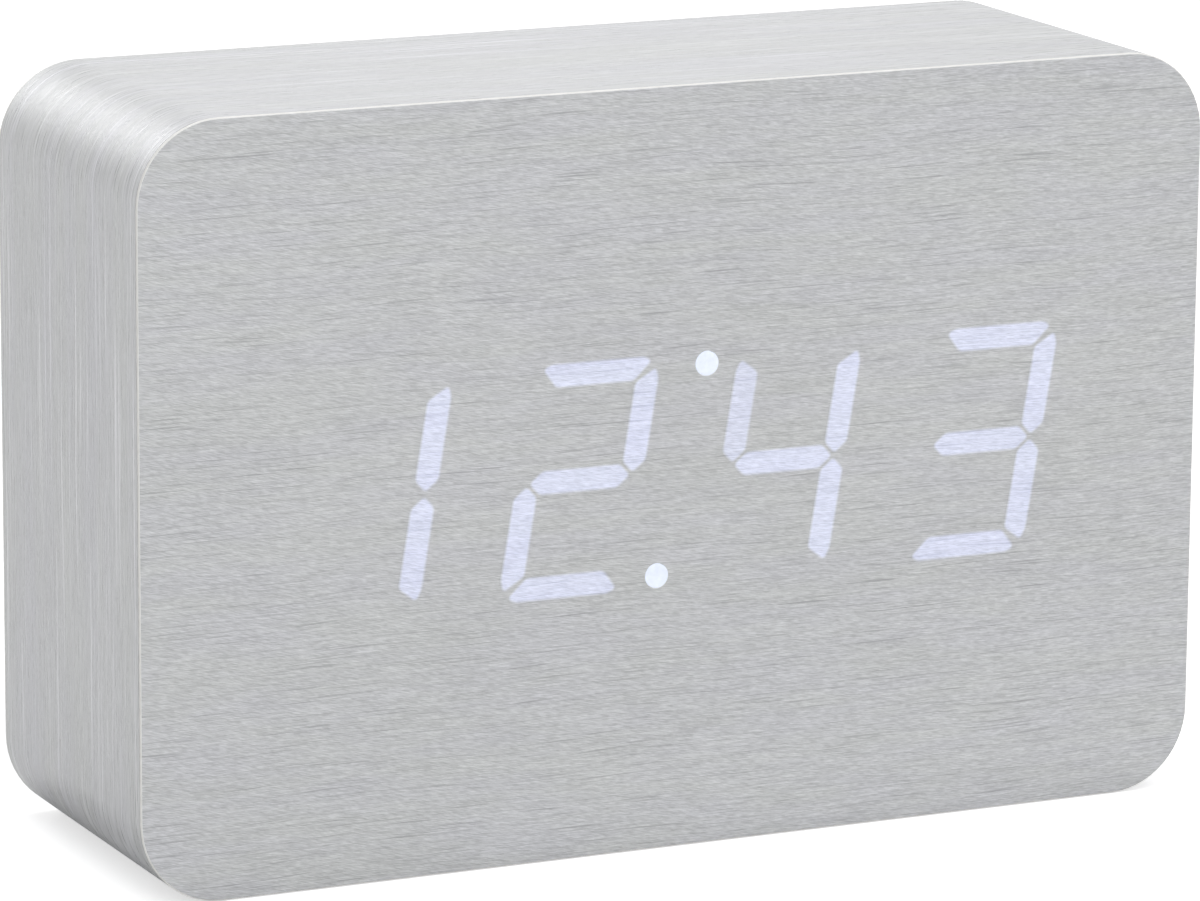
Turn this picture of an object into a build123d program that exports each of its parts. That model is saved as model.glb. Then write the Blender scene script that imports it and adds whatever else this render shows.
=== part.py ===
from build123d import *
import os
from math import cos, pi, radians, sin, tan

# A digital desk clock. Its case is a block of fibreboard, milled hollow from behind and covered
# with thin brushed laminate. Four slanted digits and a colon shine through the front skin. A black
# moulded panel in the back carries the battery bay, three buttons, a sound switch and the power jack.
# X runs to the right, Y from the front to the back and Z up, from the middle of the base.
# Lengths are in millimetres and angles in degrees.

os.makedirs("parts", exist_ok=True)

# Case and its laminate
case_width = 150.0
case_height = 100.0
case_depth = 49.0
corner_radius = 11.0
skin_thickness = 0.5
skin_bevel = 0.15
seam_gap = 0.3
front_wall = 6.0
router_radius = 5.0
seat_gap = 0.05
overrun = 1.0

# Digits
digit_pitch = 28.9
digit_height = 30.3
digit_lean = 9.4
display_shift = -0.4
column_spacing = 14.7
column_width = 3.0
bar_width = 2.8
bar_tip_back = 1.4
bar_tip_drop = 0.5
bar_flat_back = 2.35
segment_gap = 0.45
column_tip_in = 0.5
column_tip_drop = 1.55
column_flat_drop = 2.9
middle_shoulder = 1.85
colon_radius = 1.58
colon_side = 3.45
colon_rise = 13.65
shown_digits = ["bc", "abged", "fgbc", "abgcd"]

# Display stack behind the front skin
window_pocket = 0.25
diffuser_depth = 1.5
reflector_margin = 2.8
reflector_height = 38.0
reflector_radius = 1.5
reflector_gap = 0.2
well_ledge = 0.5
led_length = 1.0
led_width = 0.5
led_height = 0.4
board_thickness = 1.6
board_gap = 0.5
board_lip = 8.0
side_lip = 2.5
display_screw_inset = 3.6
board_corner_share = 0.6

# Rear panel
panel_recess = 1.5
panel_thickness = 2.0
panel_ledge = 5.5
panel_gap = 0.2
panel_radius = 3.0
panel_bevel = 0.3
post_height = 7.0
post_size = 5.0
post_inset = 3.5
post_rib_width = 1.5
post_rib_length = 9.0

# Screws
panel_screw_radius = 1.25
panel_screw_head = 2.3
panel_screw_head_height = 1.1
panel_screw_bite = 8.0
screw_gap = 0.1
shank_sides = 8
board_screw_radius = 0.9
board_screw_head = 1.9
board_screw_head_height = 1.2
board_screw_bite = 4.0
board_screw_play = 0.3

# Battery bay for four size AAA cells
cell_radius = 5.25
cell_length = 44.5
cell_nub_radius = 1.9
cell_nub_length = 1.2
cell_count = 4
cell_spacing_gap = 0.4
cell_side_gap = 0.3
cell_top_gap = 0.4
cell_floor_gap = 0.3
bay_wall = 2.0
bay_floor = 1.5
bay_clearance = 1.5
rib_height = 2.4
rib_half_width = 1.4
rib_end_gap = 6.0
contact_thickness = 0.4
contact_width = 8.5
contact_height = 9.2
contact_gap = 0.05
tab_width = 2.5
tab_reach = 4.0
tab_slot_gap = 0.2
spring_length = 4.2
spring_wire = 0.5
spring_large_radius = 3.4
spring_small_radius = 2.1
spring_turns = 2.0
arcs_per_turn = 2
samples_per_turn = 16
wire_sides = 4

# Battery door
door_gap = 0.3
door_seat_gap = 0.05
door_ledge = 0.8
door_radius = 1.5
hinge_tab_width = 6.0
hinge_tab_inset = 9.0
hinge_tab_length = 1.8
hinge_tab_thickness = 1.15
hinge_tab_gap = 0.1
hinge_web = 1.5
hinge_notch_depth = 2.2
hinge_notch_gap = 0.3
latch_width = 11.0
latch_length = 8.0
latch_slot = 0.8
latch_leg_thickness = 1.1
latch_leg_length = 2.0
latch_barb = 0.3
barb_start_share = 0.3
barb_tip_share = 0.5
latch_notch_gap = 0.5
grip_count = 4
grip_pitch = 1.3
grip_width = 0.6
grip_height = 0.35

# Controls on the rear panel
button_spacing = 15.0
button_rise = 12.0
button_radius = 3.0
button_gap = 0.1
button_proud = 0.8
button_flange_size = 7.8
button_flange_height = 1.0
button_flange_play = 0.3
button_travel = 0.4
tact_size = 6.0
tact_height = 3.5
plunger_size = 2.6
plunger_depth = 1.2
plunger_floor_gap = 0.2
plunger_gap = 0.1
switch_drop = 9.0
switch_length = 8.6
switch_width = 4.4
switch_height = 3.5
switch_wall = 0.5
switch_travel = 2.0
knob_length = 3.0
knob_width = 2.6
knob_gap = 0.15
knob_proud = 0.9
knob_lift = 0.5
lever_length = 1.6
lever_width = 1.4
lever_depth = 1.6
knob_groove = 0.4
knob_groove_count = 3
jack_size = 8.0
jack_drop = 10.0
jack_nose_radius = 3.0
jack_nose_gap = 0.1
jack_bore_radius = 1.8
jack_bore_floor = 0.8
jack_pin_radius = 0.67
jack_pin_setback = 1.0
mic_radius = 3.0
mic_length = 2.7
mic_drop = 12.0
mic_hole_radius = 0.8
mic_lead_spacing = 2.5
lead_size = 0.5
vent_length = 9.0
vent_width = 1.2
vent_pitch = 2.4
vent_count = 3
sensor_radius = 1.2
sensor_length = 1.8
sensor_drop = 1.0
sensor_lead_spacing = 1.2
sensor_vent_gap = 0.6

# Parts on the control board and the links between the boards
chip_height = 2.1
chip_standoff = 0.1
chip_width = 7.5
chip_pitch = 1.27
chip_end = 0.8
chip_bevel = 0.3
chip_leg_width = 0.45
chip_leg_reach = 1.4
chip_leg_height = 1.0
controller_pin_count = 20
driver_pin_count = 16
controller_side = 3.0
controller_rise = 9.0
driver_side = -24.0
driver_rise = 6.0
crystal_radius = 1.5
crystal_length = 8.0
crystal_side = 3.0
crystal_rise = 0.5
buzzer_radius = 6.0
buzzer_height = 6.5
buzzer_hole_radius = 1.0
buzzer_hole_depth = 1.5
buzzer_side = -18.5
buzzer_rise = 8.0
capacitor_radius = 3.15
capacitor_height = 7.0
capacitor_side = 19.0
capacitor_rise = -4.0
socket_length = 12.4
socket_width = 4.6
socket_height = 5.0
socket_side = -2.0
socket_rise = -12.0
ribbon_width = 10.16
ribbon_thickness = 0.9
ribbon_step = 6.0
ribbon_run_share = 0.3
ribbon_radius = 3.0
battery_lead_radius = 0.5
battery_lead_bend = 2.5
battery_lead_inset = 4.5
battery_lead_rise = 2.0

# Places along the depth
front_y = -case_depth / 2
back_y = case_depth / 2
mid_height = case_height / 2
block_front_y = front_y + skin_thickness
block_back_y = back_y - skin_thickness
wall_back_y = block_front_y + front_wall
diffuser_back_y = block_front_y + diffuser_depth
display_board_back_y = wall_back_y + board_thickness
panel_y = back_y - panel_recess
panel_in_y = panel_y - panel_thickness
control_back_y = panel_in_y - post_height
control_front_y = control_back_y - board_thickness
door_in_y = panel_in_y + door_seat_gap
cell_y = panel_in_y - cell_top_gap - cell_radius
bay_floor_y = cell_y - cell_radius - cell_floor_gap
bay_out_y = bay_floor_y - bay_floor

# Sizes that follow from the driving dimensions
block_width = case_width - 2 * skin_thickness
block_height = case_height - 2 * skin_thickness
block_radius = corner_radius - skin_thickness
block_depth = block_back_y - block_front_y
lean_slope = tan(radians(digit_lean))
digit_width = column_spacing + column_width + digit_height * lean_slope
reflector_width = (len(shown_digits) - 1) * digit_pitch + digit_width + 2 * reflector_margin
cell_pitch = 2 * cell_radius + cell_spacing_gap
bay_height = (cell_count - 1) * cell_pitch + 2 * (cell_radius + cell_side_gap)
bay_length = 2 * contact_thickness + cell_length + spring_length + contact_gap
cavity_width = reflector_width + 2 * side_lip
cavity_height = max(reflector_height + 2 * board_lip, bay_height + 2 * (bay_wall + bay_clearance))
panel_width = cavity_width + 2 * panel_ledge
panel_height = cavity_height + 2 * panel_ledge
panel_screw_x = cavity_width + panel_ledge
panel_screw_z = cavity_height + panel_ledge
bay_x = cavity_width / 2 - bay_clearance - bay_wall - bay_length / 2
bay_left_x = bay_x - bay_length / 2
bay_right_x = bay_x + bay_length / 2
bay_top_z = bay_height / 2
control_left_x = board_lip / 2 - cavity_width / 2
control_right_x = bay_left_x - bay_wall - side_lip
control_x = (control_left_x + control_right_x) / 2
control_width = control_right_x - control_left_x
control_height = bay_height + bay_wall
door_length = bay_length + 2 * (door_ledge - door_gap)
door_height = bay_height + 2 * (door_ledge - door_gap)
door_thickness = panel_y - door_in_y
door_bottom_z = -door_height / 2
button_top_y = panel_y + button_proud
flange_top_y = panel_in_y - button_flange_play
flange_bottom_y = flange_top_y - button_flange_height
tact_top_y = control_back_y + tact_height
plunger_bottom_y = tact_top_y - plunger_depth
tact_bore = plunger_depth + button_travel + plunger_floor_gap
switch_top_y = control_back_y + switch_height
switch_x = control_x + button_spacing
jack_x = control_x - button_spacing
button_names = ["set", "up", "down"]


# A sketch plane at depth y that faces the front, centred on the case's width and height.
# Its extrusions run forwards, so a slab is drawn at its back and grows towards the front.
def facing(y):
    return Plane(origin=(0, y, mid_height), x_dir=(1, 0, 0), z_dir=(0, -1, 0))


# A plane across the bay at x, with depth along its first axis and height along its second.
def across(x):
    return Plane(origin=(x, cell_y, mid_height), x_dir=(0, 1, 0), z_dir=(1, 0, 0))


# Where digit number 0 to 3 is centred.
def digit_x(number):
    return display_shift + (number - (len(shown_digits) - 1) / 2) * digit_pitch


# The corners of one segment about its digit's centre, before the digit leans. The letters run
# a to f clockwise from the top, and g is the middle bar.
def segment_points(letter):
    outer_x = (column_spacing + column_width) / 2
    inner_x = outer_x - column_width
    outer_z = digit_height / 2
    inner_z = outer_z - bar_width
    if letter == "g":
        tip = column_spacing / 2 - segment_gap
        flat = inner_x - segment_gap
        half = bar_width / 2
        return [(-tip, 0), (-flat, half), (flat, half), (tip, 0), (flat, -half), (-flat, -half)]
    if letter in "ad":
        tip = (outer_x - bar_tip_back, outer_z - bar_tip_drop)
        flat = (outer_x - bar_flat_back, outer_z)
        inner = (inner_x - segment_gap, inner_z)
        upper = [tip, flat, (-flat[0], flat[1]), (-tip[0], tip[1]), (-inner[0], inner[1]), inner]
        side = 1
    else:
        upper = [
            (column_spacing / 2, segment_gap),
            (outer_x, middle_shoulder),
            (outer_x, outer_z - column_flat_drop),
            (outer_x - column_tip_in, outer_z - column_tip_drop),
            (inner_x, inner_z - segment_gap),
            (inner_x, middle_shoulder),
        ]
        side = 1 if letter in "bc" else -1
    rise = 1 if letter in "abf" else -1
    return [(side * x, rise * z) for x, z in upper]


# The middle of a segment, where its lamp sits.
def segment_centre(letter):
    points = segment_points(letter)
    return (
        (min(x for x, z in points) + max(x for x, z in points)) / 2,
        (min(z for x, z in points) + max(z for x, z in points)) / 2,
    )


# One leaning segment, added to the sketch that is being drawn
def draw_segment(number, letter):
    leaned = [(digit_x(number) + x + z * lean_slope, z) for x, z in segment_points(letter)]
    Polygon(*leaned, align=None)


def draw_digits(lit, unlit):
    for number, shown in enumerate(shown_digits):
        for letter in "abcdefg":
            if lit and letter in shown or unlit and letter not in shown:
                draw_segment(number, letter)


# The window behind the digits, a little larger than the reflector that fills it
def draw_window():
    with Locations((display_shift, 0)):
        RectangleRounded(
            reflector_width + 2 * reflector_gap,
            reflector_height + 2 * reflector_gap,
            reflector_radius + reflector_gap,
        )


# The colon's upper dot stands to the right of its lower one.
def colon_places():
    return [
        (display_shift + colon_side, colon_rise),
        (display_shift - colon_side, -colon_rise),
    ]


# Front skin: one sheet over the whole front, thinned from behind over the window so that the digits
# shine through
with BuildPart() as front_skin:
    with BuildSketch(facing(block_front_y)):
        RectangleRounded(case_width, case_height, corner_radius)
    extrude(amount=skin_thickness)
    chamfer(front_skin.faces().sort_by(Axis.Y)[0].edges(), skin_bevel)
    with BuildSketch(facing(block_front_y)):
        draw_window()
    extrude(amount=window_pocket, mode=Mode.SUBTRACT)
    with BuildSketch(facing(block_front_y)):
        with Locations(*colon_places()):
            Circle(colon_radius + seat_gap)
    extrude(amount=skin_thickness, mode=Mode.SUBTRACT)
front_skin.part.label = "front_skin"
export_step(front_skin.part, "parts/front_skin.step")

# Side wrap: one strip round the case, with its butt seam in the middle of the underside
with BuildPart() as side_wrap:
    with BuildSketch(facing(block_back_y)):
        RectangleRounded(case_width, case_height, corner_radius)
        RectangleRounded(block_width, block_height, block_radius, mode=Mode.SUBTRACT)
        with Locations((0, -case_height / 2)):
            Rectangle(seam_gap, 2 * skin_thickness + overrun, mode=Mode.SUBTRACT)
    extrude(amount=block_depth)
side_wrap.part.label = "side_wrap"
export_step(side_wrap.part, "parts/side_wrap.step")

# Rear skin: a frame round the moulded panel
with BuildPart() as rear_skin:
    with BuildSketch(facing(back_y)):
        RectangleRounded(case_width, case_height, corner_radius)
    extrude(amount=skin_thickness)
    chamfer(rear_skin.faces().sort_by(Axis.Y)[-1].edges(), skin_bevel)
    with BuildSketch(facing(back_y)):
        RectangleRounded(panel_width + 2 * panel_gap, panel_height + 2 * panel_gap, panel_radius)
    extrude(amount=skin_thickness, mode=Mode.SUBTRACT)
rear_skin.part.label = "rear_skin"
export_step(rear_skin.part, "parts/rear_skin.step")

# Case block: rebated for the panel, milled hollow behind it, with a window for the reflector
display_screw_z = cavity_height / 2 - display_screw_inset
display_screw_places = [(0, display_screw_z), (0, -display_screw_z)]
with BuildPart() as case_block:
    with BuildSketch(facing(block_back_y)):
        RectangleRounded(block_width, block_height, block_radius)
    extrude(amount=block_depth)
    with BuildSketch(facing(block_back_y)):
        RectangleRounded(panel_width + 2 * panel_gap, panel_height + 2 * panel_gap, panel_radius)
    extrude(amount=block_back_y - panel_in_y, mode=Mode.SUBTRACT)
    with BuildSketch(facing(panel_in_y)):
        RectangleRounded(cavity_width, cavity_height, router_radius)
    extrude(amount=panel_in_y - wall_back_y, mode=Mode.SUBTRACT)
    with BuildSketch(facing(wall_back_y)):
        draw_window()
    extrude(amount=front_wall, mode=Mode.SUBTRACT)
    with BuildSketch(facing(panel_in_y)):
        with GridLocations(panel_screw_x, panel_screw_z, 2, 2):
            RegularPolygon(panel_screw_radius + screw_gap, shank_sides)
    extrude(amount=panel_screw_bite + board_screw_play, mode=Mode.SUBTRACT)
    with BuildSketch(facing(wall_back_y)):
        with Locations(*display_screw_places):
            RegularPolygon(board_screw_radius + screw_gap, shank_sides)
    extrude(amount=board_screw_bite + board_screw_play, mode=Mode.SUBTRACT)
case_block.part.label = "case_block"
export_step(case_block.part, "parts/case_block.step")

# Segment reflector: one leaning well per segment, with a ledge that its diffuser rests on
with BuildPart() as segment_reflector:
    with BuildSketch(facing(wall_back_y)):
        with Locations((display_shift, 0)):
            RectangleRounded(reflector_width, reflector_height, reflector_radius)
    extrude(amount=front_wall + window_pocket - seat_gap)
    with BuildSketch(facing(diffuser_back_y)):
        draw_digits(True, True)
    extrude(amount=diffuser_depth + window_pocket, mode=Mode.SUBTRACT)
    with BuildSketch(facing(wall_back_y)):
        draw_digits(True, True)
        offset(amount=-well_ledge, kind=Kind.INTERSECTION)
        with Locations(*colon_places()):
            Rectangle(2 * (colon_radius + seat_gap), 2 * (colon_radius + seat_gap))
    extrude(amount=front_wall + window_pocket, mode=Mode.SUBTRACT)
segment_reflector.part.label = "segment_reflector"
export_step(segment_reflector.part, "parts/segment_reflector.step")

# Diffusers: a milky prism in the mouth of each well, flush with the reflector's front
with BuildPart() as lit_segments:
    with BuildSketch(facing(diffuser_back_y)):
        draw_digits(True, False)
        offset(amount=-seat_gap, kind=Kind.INTERSECTION)
    extrude(amount=diffuser_depth + window_pocket - seat_gap)
lit_segments.part.label = "lit_segments"
export_step(lit_segments.part, "parts/lit_segments.step")

with BuildPart() as unlit_segments:
    with BuildSketch(facing(diffuser_back_y)):
        draw_digits(False, True)
        offset(amount=-seat_gap, kind=Kind.INTERSECTION)
    extrude(amount=diffuser_depth + window_pocket - seat_gap)
unlit_segments.part.label = "unlit_segments"
export_step(unlit_segments.part, "parts/unlit_segments.step")

# Colon lenses: clear pins that come through the skin and end flush with the front
with BuildPart() as colon_lenses:
    with BuildSketch(facing(diffuser_back_y)):
        with Locations(*colon_places()):
            Circle(colon_radius)
    extrude(amount=diffuser_depth + skin_thickness)
colon_lenses.part.label = "colon_lenses"
export_step(colon_lenses.part, "parts/colon_lenses.step")

# Lamps: one chip at the bottom of each well
with BuildPart() as led_chips:
    with BuildSketch(facing(wall_back_y)):
        for number in range(len(shown_digits)):
            for letter in "abcdefg":
                x, z = segment_centre(letter)
                turn = 0 if letter in "adg" else 90 - digit_lean
                with Locations((digit_x(number) + x + z * lean_slope, z)):
                    Rectangle(led_length, led_width, rotation=turn)
        with Locations(*colon_places()):
            Rectangle(led_length, led_width)
    extrude(amount=led_height)
led_chips.part.label = "led_chips"
export_step(led_chips.part, "parts/led_chips.step")

# Display board: screwed from behind to the wall round the window
board_corner = router_radius * board_corner_share
with BuildPart() as display_board:
    with BuildSketch(facing(display_board_back_y)) as display_outline:
        Rectangle(cavity_width - 2 * board_gap, cavity_height - 2 * board_gap)
        chamfer(display_outline.vertices(), board_corner)
        with Locations(*display_screw_places):
            Circle(board_screw_radius + board_screw_play, mode=Mode.SUBTRACT)
    extrude(amount=board_thickness)
display_board.part.label = "display_board"
export_step(display_board.part, "parts/display_board.step")


# Pan head screws whose heads sit on depth seat_y. The heads face the back where side is 1 and
# the front where it is -1. A plain shank of a few sides stands for the threads.
def make_screws(places, seat_y, side, head_radius, head_height, shank_radius, shank_length):
    with BuildPart() as screws:
        with BuildSketch(facing(seat_y)):
            with Locations(*places):
                Circle(head_radius)
        extrude(amount=-side * head_height)
        with BuildSketch(facing(seat_y)):
            with Locations(*places):
                RegularPolygon(shank_radius, shank_sides)
        extrude(amount=side * shank_length)
    return screws


def make_board_screws(places, seat_y, side):
    return make_screws(
        places,
        seat_y,
        side,
        board_screw_head,
        board_screw_head_height,
        board_screw_radius,
        board_thickness + board_screw_bite,
    )


display_screws = make_board_screws(display_screw_places, display_board_back_y, 1)
display_screws.part.label = "display_screws"
export_step(display_screws.part, "parts/display_screws.step")


# A black package on a board whose face is at depth y, with a row of legs along each long side.
# It grows backwards where side is 1 and forwards where it is -1.
def leaded_chip(x, z, y, side, leg_count):
    row_count = leg_count // 2
    body_length = (row_count - 1) * chip_pitch + 2 * chip_end
    with BuildPart() as chip:
        with BuildSketch(facing(y + side * chip_standoff)):
            with Locations((x, z)):
                Rectangle(body_length, chip_width)
        extrude(amount=-side * chip_height)
        outer_face = chip.faces().sort_by(Axis.Y)[-1 if side > 0 else 0]
        chamfer(outer_face.edges(), chip_bevel)
        with BuildSketch(facing(y)):
            with Locations((x, z)):
                with GridLocations(chip_pitch, chip_width + chip_leg_reach, row_count, 2):
                    Rectangle(chip_leg_width, chip_leg_reach)
        extrude(amount=-side * chip_leg_height)
    return chip


# Display driver: on the back of the display board
display_driver = leaded_chip(driver_side, driver_rise, display_board_back_y, 1, driver_pin_count)
display_driver.part.label = "display_driver"
export_step(display_driver.part, "parts/display_driver.step")

# Rear panel: one moulding of plate and battery bay, with two posts and two ribs for the control board
opening_length = bay_length + 2 * door_ledge
opening_height = bay_height + 2 * door_ledge
post_side = control_width / 2 - post_inset
post_rise = control_height / 2 - post_inset
post_places = [(control_x - post_side, post_rise), (control_x + post_side, -post_rise)]
rib_places = [(control_x - post_side, -post_rise), (control_x + post_side, post_rise)]
cell_rises = [(number - (cell_count - 1) / 2) * cell_pitch for number in range(cell_count)]
hinge_tab_x = door_length / 2 - hinge_tab_inset
button_middle = (len(button_names) - 1) / 2
button_xs = [
    control_x + (number - button_middle) * button_spacing for number in range(len(button_names))
]
with BuildPart() as rear_panel:
    with BuildSketch(facing(panel_y)):
        RectangleRounded(panel_width, panel_height, panel_radius - panel_gap)
    extrude(amount=panel_thickness)
    chamfer(rear_panel.faces().sort_by(Axis.Y)[-1].edges(), panel_bevel)
    with BuildSketch(facing(panel_in_y)):
        with Locations((bay_x, 0)):
            Rectangle(bay_length + 2 * bay_wall, bay_height + 2 * bay_wall)
    extrude(amount=panel_in_y - bay_out_y)
    with BuildSketch(facing(panel_y)):
        with Locations((bay_x, 0)):
            RectangleRounded(opening_length, opening_height, door_radius + door_gap)
    extrude(amount=panel_thickness, mode=Mode.SUBTRACT)
    with BuildSketch(facing(panel_in_y)):
        with Locations((bay_x, 0)):
            Rectangle(bay_length, bay_height)
    extrude(amount=panel_in_y - bay_floor_y, mode=Mode.SUBTRACT)
    with BuildSketch(across(bay_left_x + rib_end_gap)):
        for lower, upper in zip(cell_rises, cell_rises[1:]):
            rib_z = (lower + upper) / 2
            floor = bay_floor_y - cell_y
            Polygon(
                (floor - seat_gap, rib_z - rib_half_width),
                (floor - seat_gap, rib_z + rib_half_width),
                (floor + rib_height, rib_z),
                align=None,
            )
    extrude(amount=bay_length - 2 * rib_end_gap)
    with BuildSketch(facing(bay_floor_y)):
        with Locations(
            (bay_left_x + contact_thickness / 2, cell_rises[0]),
            (bay_left_x + contact_thickness / 2, cell_rises[-1]),
        ):
            Rectangle(contact_thickness + 2 * tab_slot_gap, tab_width + 2 * tab_slot_gap)
    extrude(amount=bay_floor, mode=Mode.SUBTRACT)
    with BuildSketch(facing(panel_in_y)):
        with Locations((bay_x, -(bay_height + bay_wall) / 2)):
            with GridLocations(2 * hinge_tab_x, 0, 2, 1):
                Rectangle(hinge_tab_width + 2 * hinge_notch_gap, bay_wall)
    extrude(amount=hinge_notch_depth, mode=Mode.SUBTRACT)
    with BuildSketch(facing(panel_in_y)):
        with Locations((bay_x, (bay_height + door_ledge) / 2)):
            Rectangle(latch_width + 2 * latch_notch_gap, door_ledge)
    extrude(amount=latch_leg_length + latch_notch_gap, mode=Mode.SUBTRACT)
    with BuildSketch(facing(panel_y)):
        for x in button_xs:
            with Locations((x, button_rise)):
                Circle(button_radius + button_gap)
        with Locations((switch_x + switch_travel / 2, -switch_drop)):
            Rectangle(knob_length + switch_travel + 2 * knob_gap, knob_width + 2 * knob_gap)
        with Locations((jack_x, -jack_drop)):
            Circle(jack_nose_radius + jack_nose_gap)
        with Locations((control_x, -mic_drop)):
            Circle(mic_hole_radius)
        with Locations((control_x, -sensor_drop)):
            with GridLocations(0, vent_pitch, 1, vent_count):
                Rectangle(vent_length, vent_width)
    extrude(amount=panel_thickness, mode=Mode.SUBTRACT)
    with BuildSketch(facing(panel_in_y)):
        with Locations(*post_places):
            Rectangle(post_size, post_size)
        with Locations(*rib_places):
            Rectangle(post_rib_length, post_rib_width)
    extrude(amount=post_height)
    with BuildSketch(facing(control_back_y + board_screw_bite + board_screw_play)):
        with Locations(*post_places):
            RegularPolygon(board_screw_radius + screw_gap, shank_sides)
    extrude(amount=board_screw_bite + board_screw_play, mode=Mode.SUBTRACT)
    with BuildSketch(facing(panel_y)):
        with GridLocations(panel_screw_x, panel_screw_z, 2, 2):
            Circle(panel_screw_radius + screw_gap)
    extrude(amount=panel_thickness, mode=Mode.SUBTRACT)
rear_panel.part.label = "rear_panel"
export_step(rear_panel.part, "parts/rear_panel.step")

# Panel screws: one in each corner, into the rebate of the case block
panel_screw_places = [
    (side * panel_screw_x / 2, rise * panel_screw_z / 2) for side in (-1, 1) for rise in (-1, 1)
]
panel_screws = make_screws(
    panel_screw_places,
    panel_y,
    1,
    panel_screw_head,
    panel_screw_head_height,
    panel_screw_radius,
    panel_thickness + panel_screw_bite,
)
panel_screws.part.label = "panel_screws"
export_step(panel_screws.part, "parts/panel_screws.step")

# Battery door: hooks under the panel by two tabs at its lower edge and snaps in by a sprung
# tongue at its upper edge
leg_back = door_height / 2 - latch_barb
barb_start = door_in_y - latch_leg_length * barb_start_share
barb_tip = door_in_y - latch_leg_length * barb_tip_share
tab_back_y = panel_in_y - hinge_tab_gap
tab_front_y = tab_back_y - hinge_tab_thickness
with BuildPart() as battery_door:
    with BuildSketch(facing(panel_y)):
        with Locations((bay_x, 0)):
            RectangleRounded(door_length, door_height, door_radius)
    extrude(amount=door_thickness)
    with BuildSketch(facing(panel_y)):
        with Locations((bay_x, (door_height - latch_length) / 2)):
            with GridLocations(latch_width + latch_slot, 0, 2, 1):
                Rectangle(latch_slot, latch_length)
    extrude(amount=door_thickness, mode=Mode.SUBTRACT)
    with BuildSketch(across(bay_x - latch_width / 2)):
        Polygon(
            (door_in_y - cell_y, leg_back - latch_leg_thickness),
            (door_in_y - cell_y, leg_back),
            (barb_start - cell_y, leg_back),
            (barb_tip - cell_y, leg_back + latch_barb),
            (door_in_y - latch_leg_length - cell_y, leg_back),
            (door_in_y - latch_leg_length - cell_y, leg_back - latch_leg_thickness),
            align=None,
        )
    extrude(amount=latch_width)
    for side in (-1, 1):
        with BuildSketch(across(bay_x + side * hinge_tab_x - hinge_tab_width / 2)):
            Polygon(
                (door_in_y - cell_y, door_bottom_z),
                (door_in_y - cell_y, door_bottom_z + hinge_web),
                (tab_front_y - cell_y, door_bottom_z + hinge_web),
                (tab_front_y - cell_y, door_bottom_z - hinge_tab_length),
                (tab_back_y - cell_y, door_bottom_z - hinge_tab_length),
                (tab_back_y - cell_y, door_bottom_z),
                align=None,
            )
        extrude(amount=hinge_tab_width)
    with BuildSketch(facing(panel_y + grip_height)):
        with Locations((bay_x, (door_height - latch_length) / 2)):
            with GridLocations(0, grip_pitch, 1, grip_count):
                Rectangle(latch_width - 2 * latch_slot, grip_width)
    extrude(amount=grip_height)
battery_door.part.label = "battery_door"
export_step(battery_door.part, "parts/battery_door.step")

# Cells: size AAA, laid head to tail in series
for number, rise in enumerate(cell_rises):
    to_right = number % 2 == 0
    heading = 1 if to_right else -1
    tip_x = bay_left_x + contact_thickness + contact_gap
    if not to_right:
        tip_x = bay_right_x - contact_thickness - contact_gap
    with BuildPart() as cell:
        nub_plane = Plane(
            origin=(tip_x, cell_y, mid_height + rise), x_dir=(0, 1, 0), z_dir=(heading, 0, 0)
        )
        with BuildSketch(nub_plane):
            Circle(cell_nub_radius)
        extrude(amount=cell_nub_length)
        with BuildSketch(nub_plane.offset(cell_nub_length)):
            Circle(cell_radius)
        extrude(amount=cell_length - cell_nub_length)
    cell.part.label = f"cell_{number + 1}"
    export_step(cell.part, f"parts/cell_{number + 1}.step")

# Contacts: plates on the end walls of the bay. The single ones have a tab through the bay's floor.
with BuildPart() as end_contacts:
    tab_end = bay_out_y - tab_reach - cell_y
    with BuildSketch(across(bay_left_x)):
        with Locations((0, cell_rises[0]), (0, cell_rises[-1])):
            Rectangle(contact_width, contact_height)
        with Locations((tab_end / 2, cell_rises[0]), (tab_end / 2, cell_rises[-1])):
            Rectangle(-tab_end, tab_width)
    extrude(amount=contact_thickness)
end_contacts.part.label = "end_contacts"
export_step(end_contacts.part, "parts/end_contacts.step")

with BuildPart() as bridge_contacts:
    with BuildSketch(across(bay_left_x)):
        Rectangle(contact_width, contact_height + cell_pitch)
    extrude(amount=contact_thickness)
    with BuildSketch(across(bay_right_x)):
        with Locations((0, -cell_pitch), (0, cell_pitch)):
            Rectangle(contact_width, contact_height + cell_pitch)
    extrude(amount=-contact_thickness)
bridge_contacts.part.label = "bridge_contacts"
export_step(bridge_contacts.part, "parts/bridge_contacts.step")


# A point on the conical spring of one cell, and the way the wire runs there
def spring_point(start_x, heading, rise, turn):
    share = turn / spring_turns
    angle = 2 * pi * turn
    radius = spring_large_radius + (spring_small_radius - spring_large_radius) * share
    climb = spring_length - spring_wire - 2 * contact_gap
    point = Vector(
        start_x + heading * (spring_wire / 2 + contact_gap + climb * share),
        cell_y + radius * cos(angle),
        mid_height + rise + radius * sin(angle),
    )
    narrowing = (spring_small_radius - spring_large_radius) / spring_turns / (2 * pi)
    direction = Vector(
        heading * climb / spring_turns / (2 * pi),
        narrowing * cos(angle) - radius * sin(angle),
        narrowing * sin(angle) + radius * cos(angle),
    )
    return point, direction.normalized()


# The middle point of two arcs that leave one point and reach the next along its own direction
def arc_joint(start, start_way, end, end_way):
    chord = end - start
    both = start_way + end_way
    bend = 2 * (1 - start_way.dot(end_way))
    reach = (-chord.dot(both) + (chord.dot(both) ** 2 + bend * chord.dot(chord)) ** 0.5) / bend
    first = start + start_way * reach
    second = end - end_way * reach
    return (first + second) / 2, (second - first).normalized()


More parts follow.
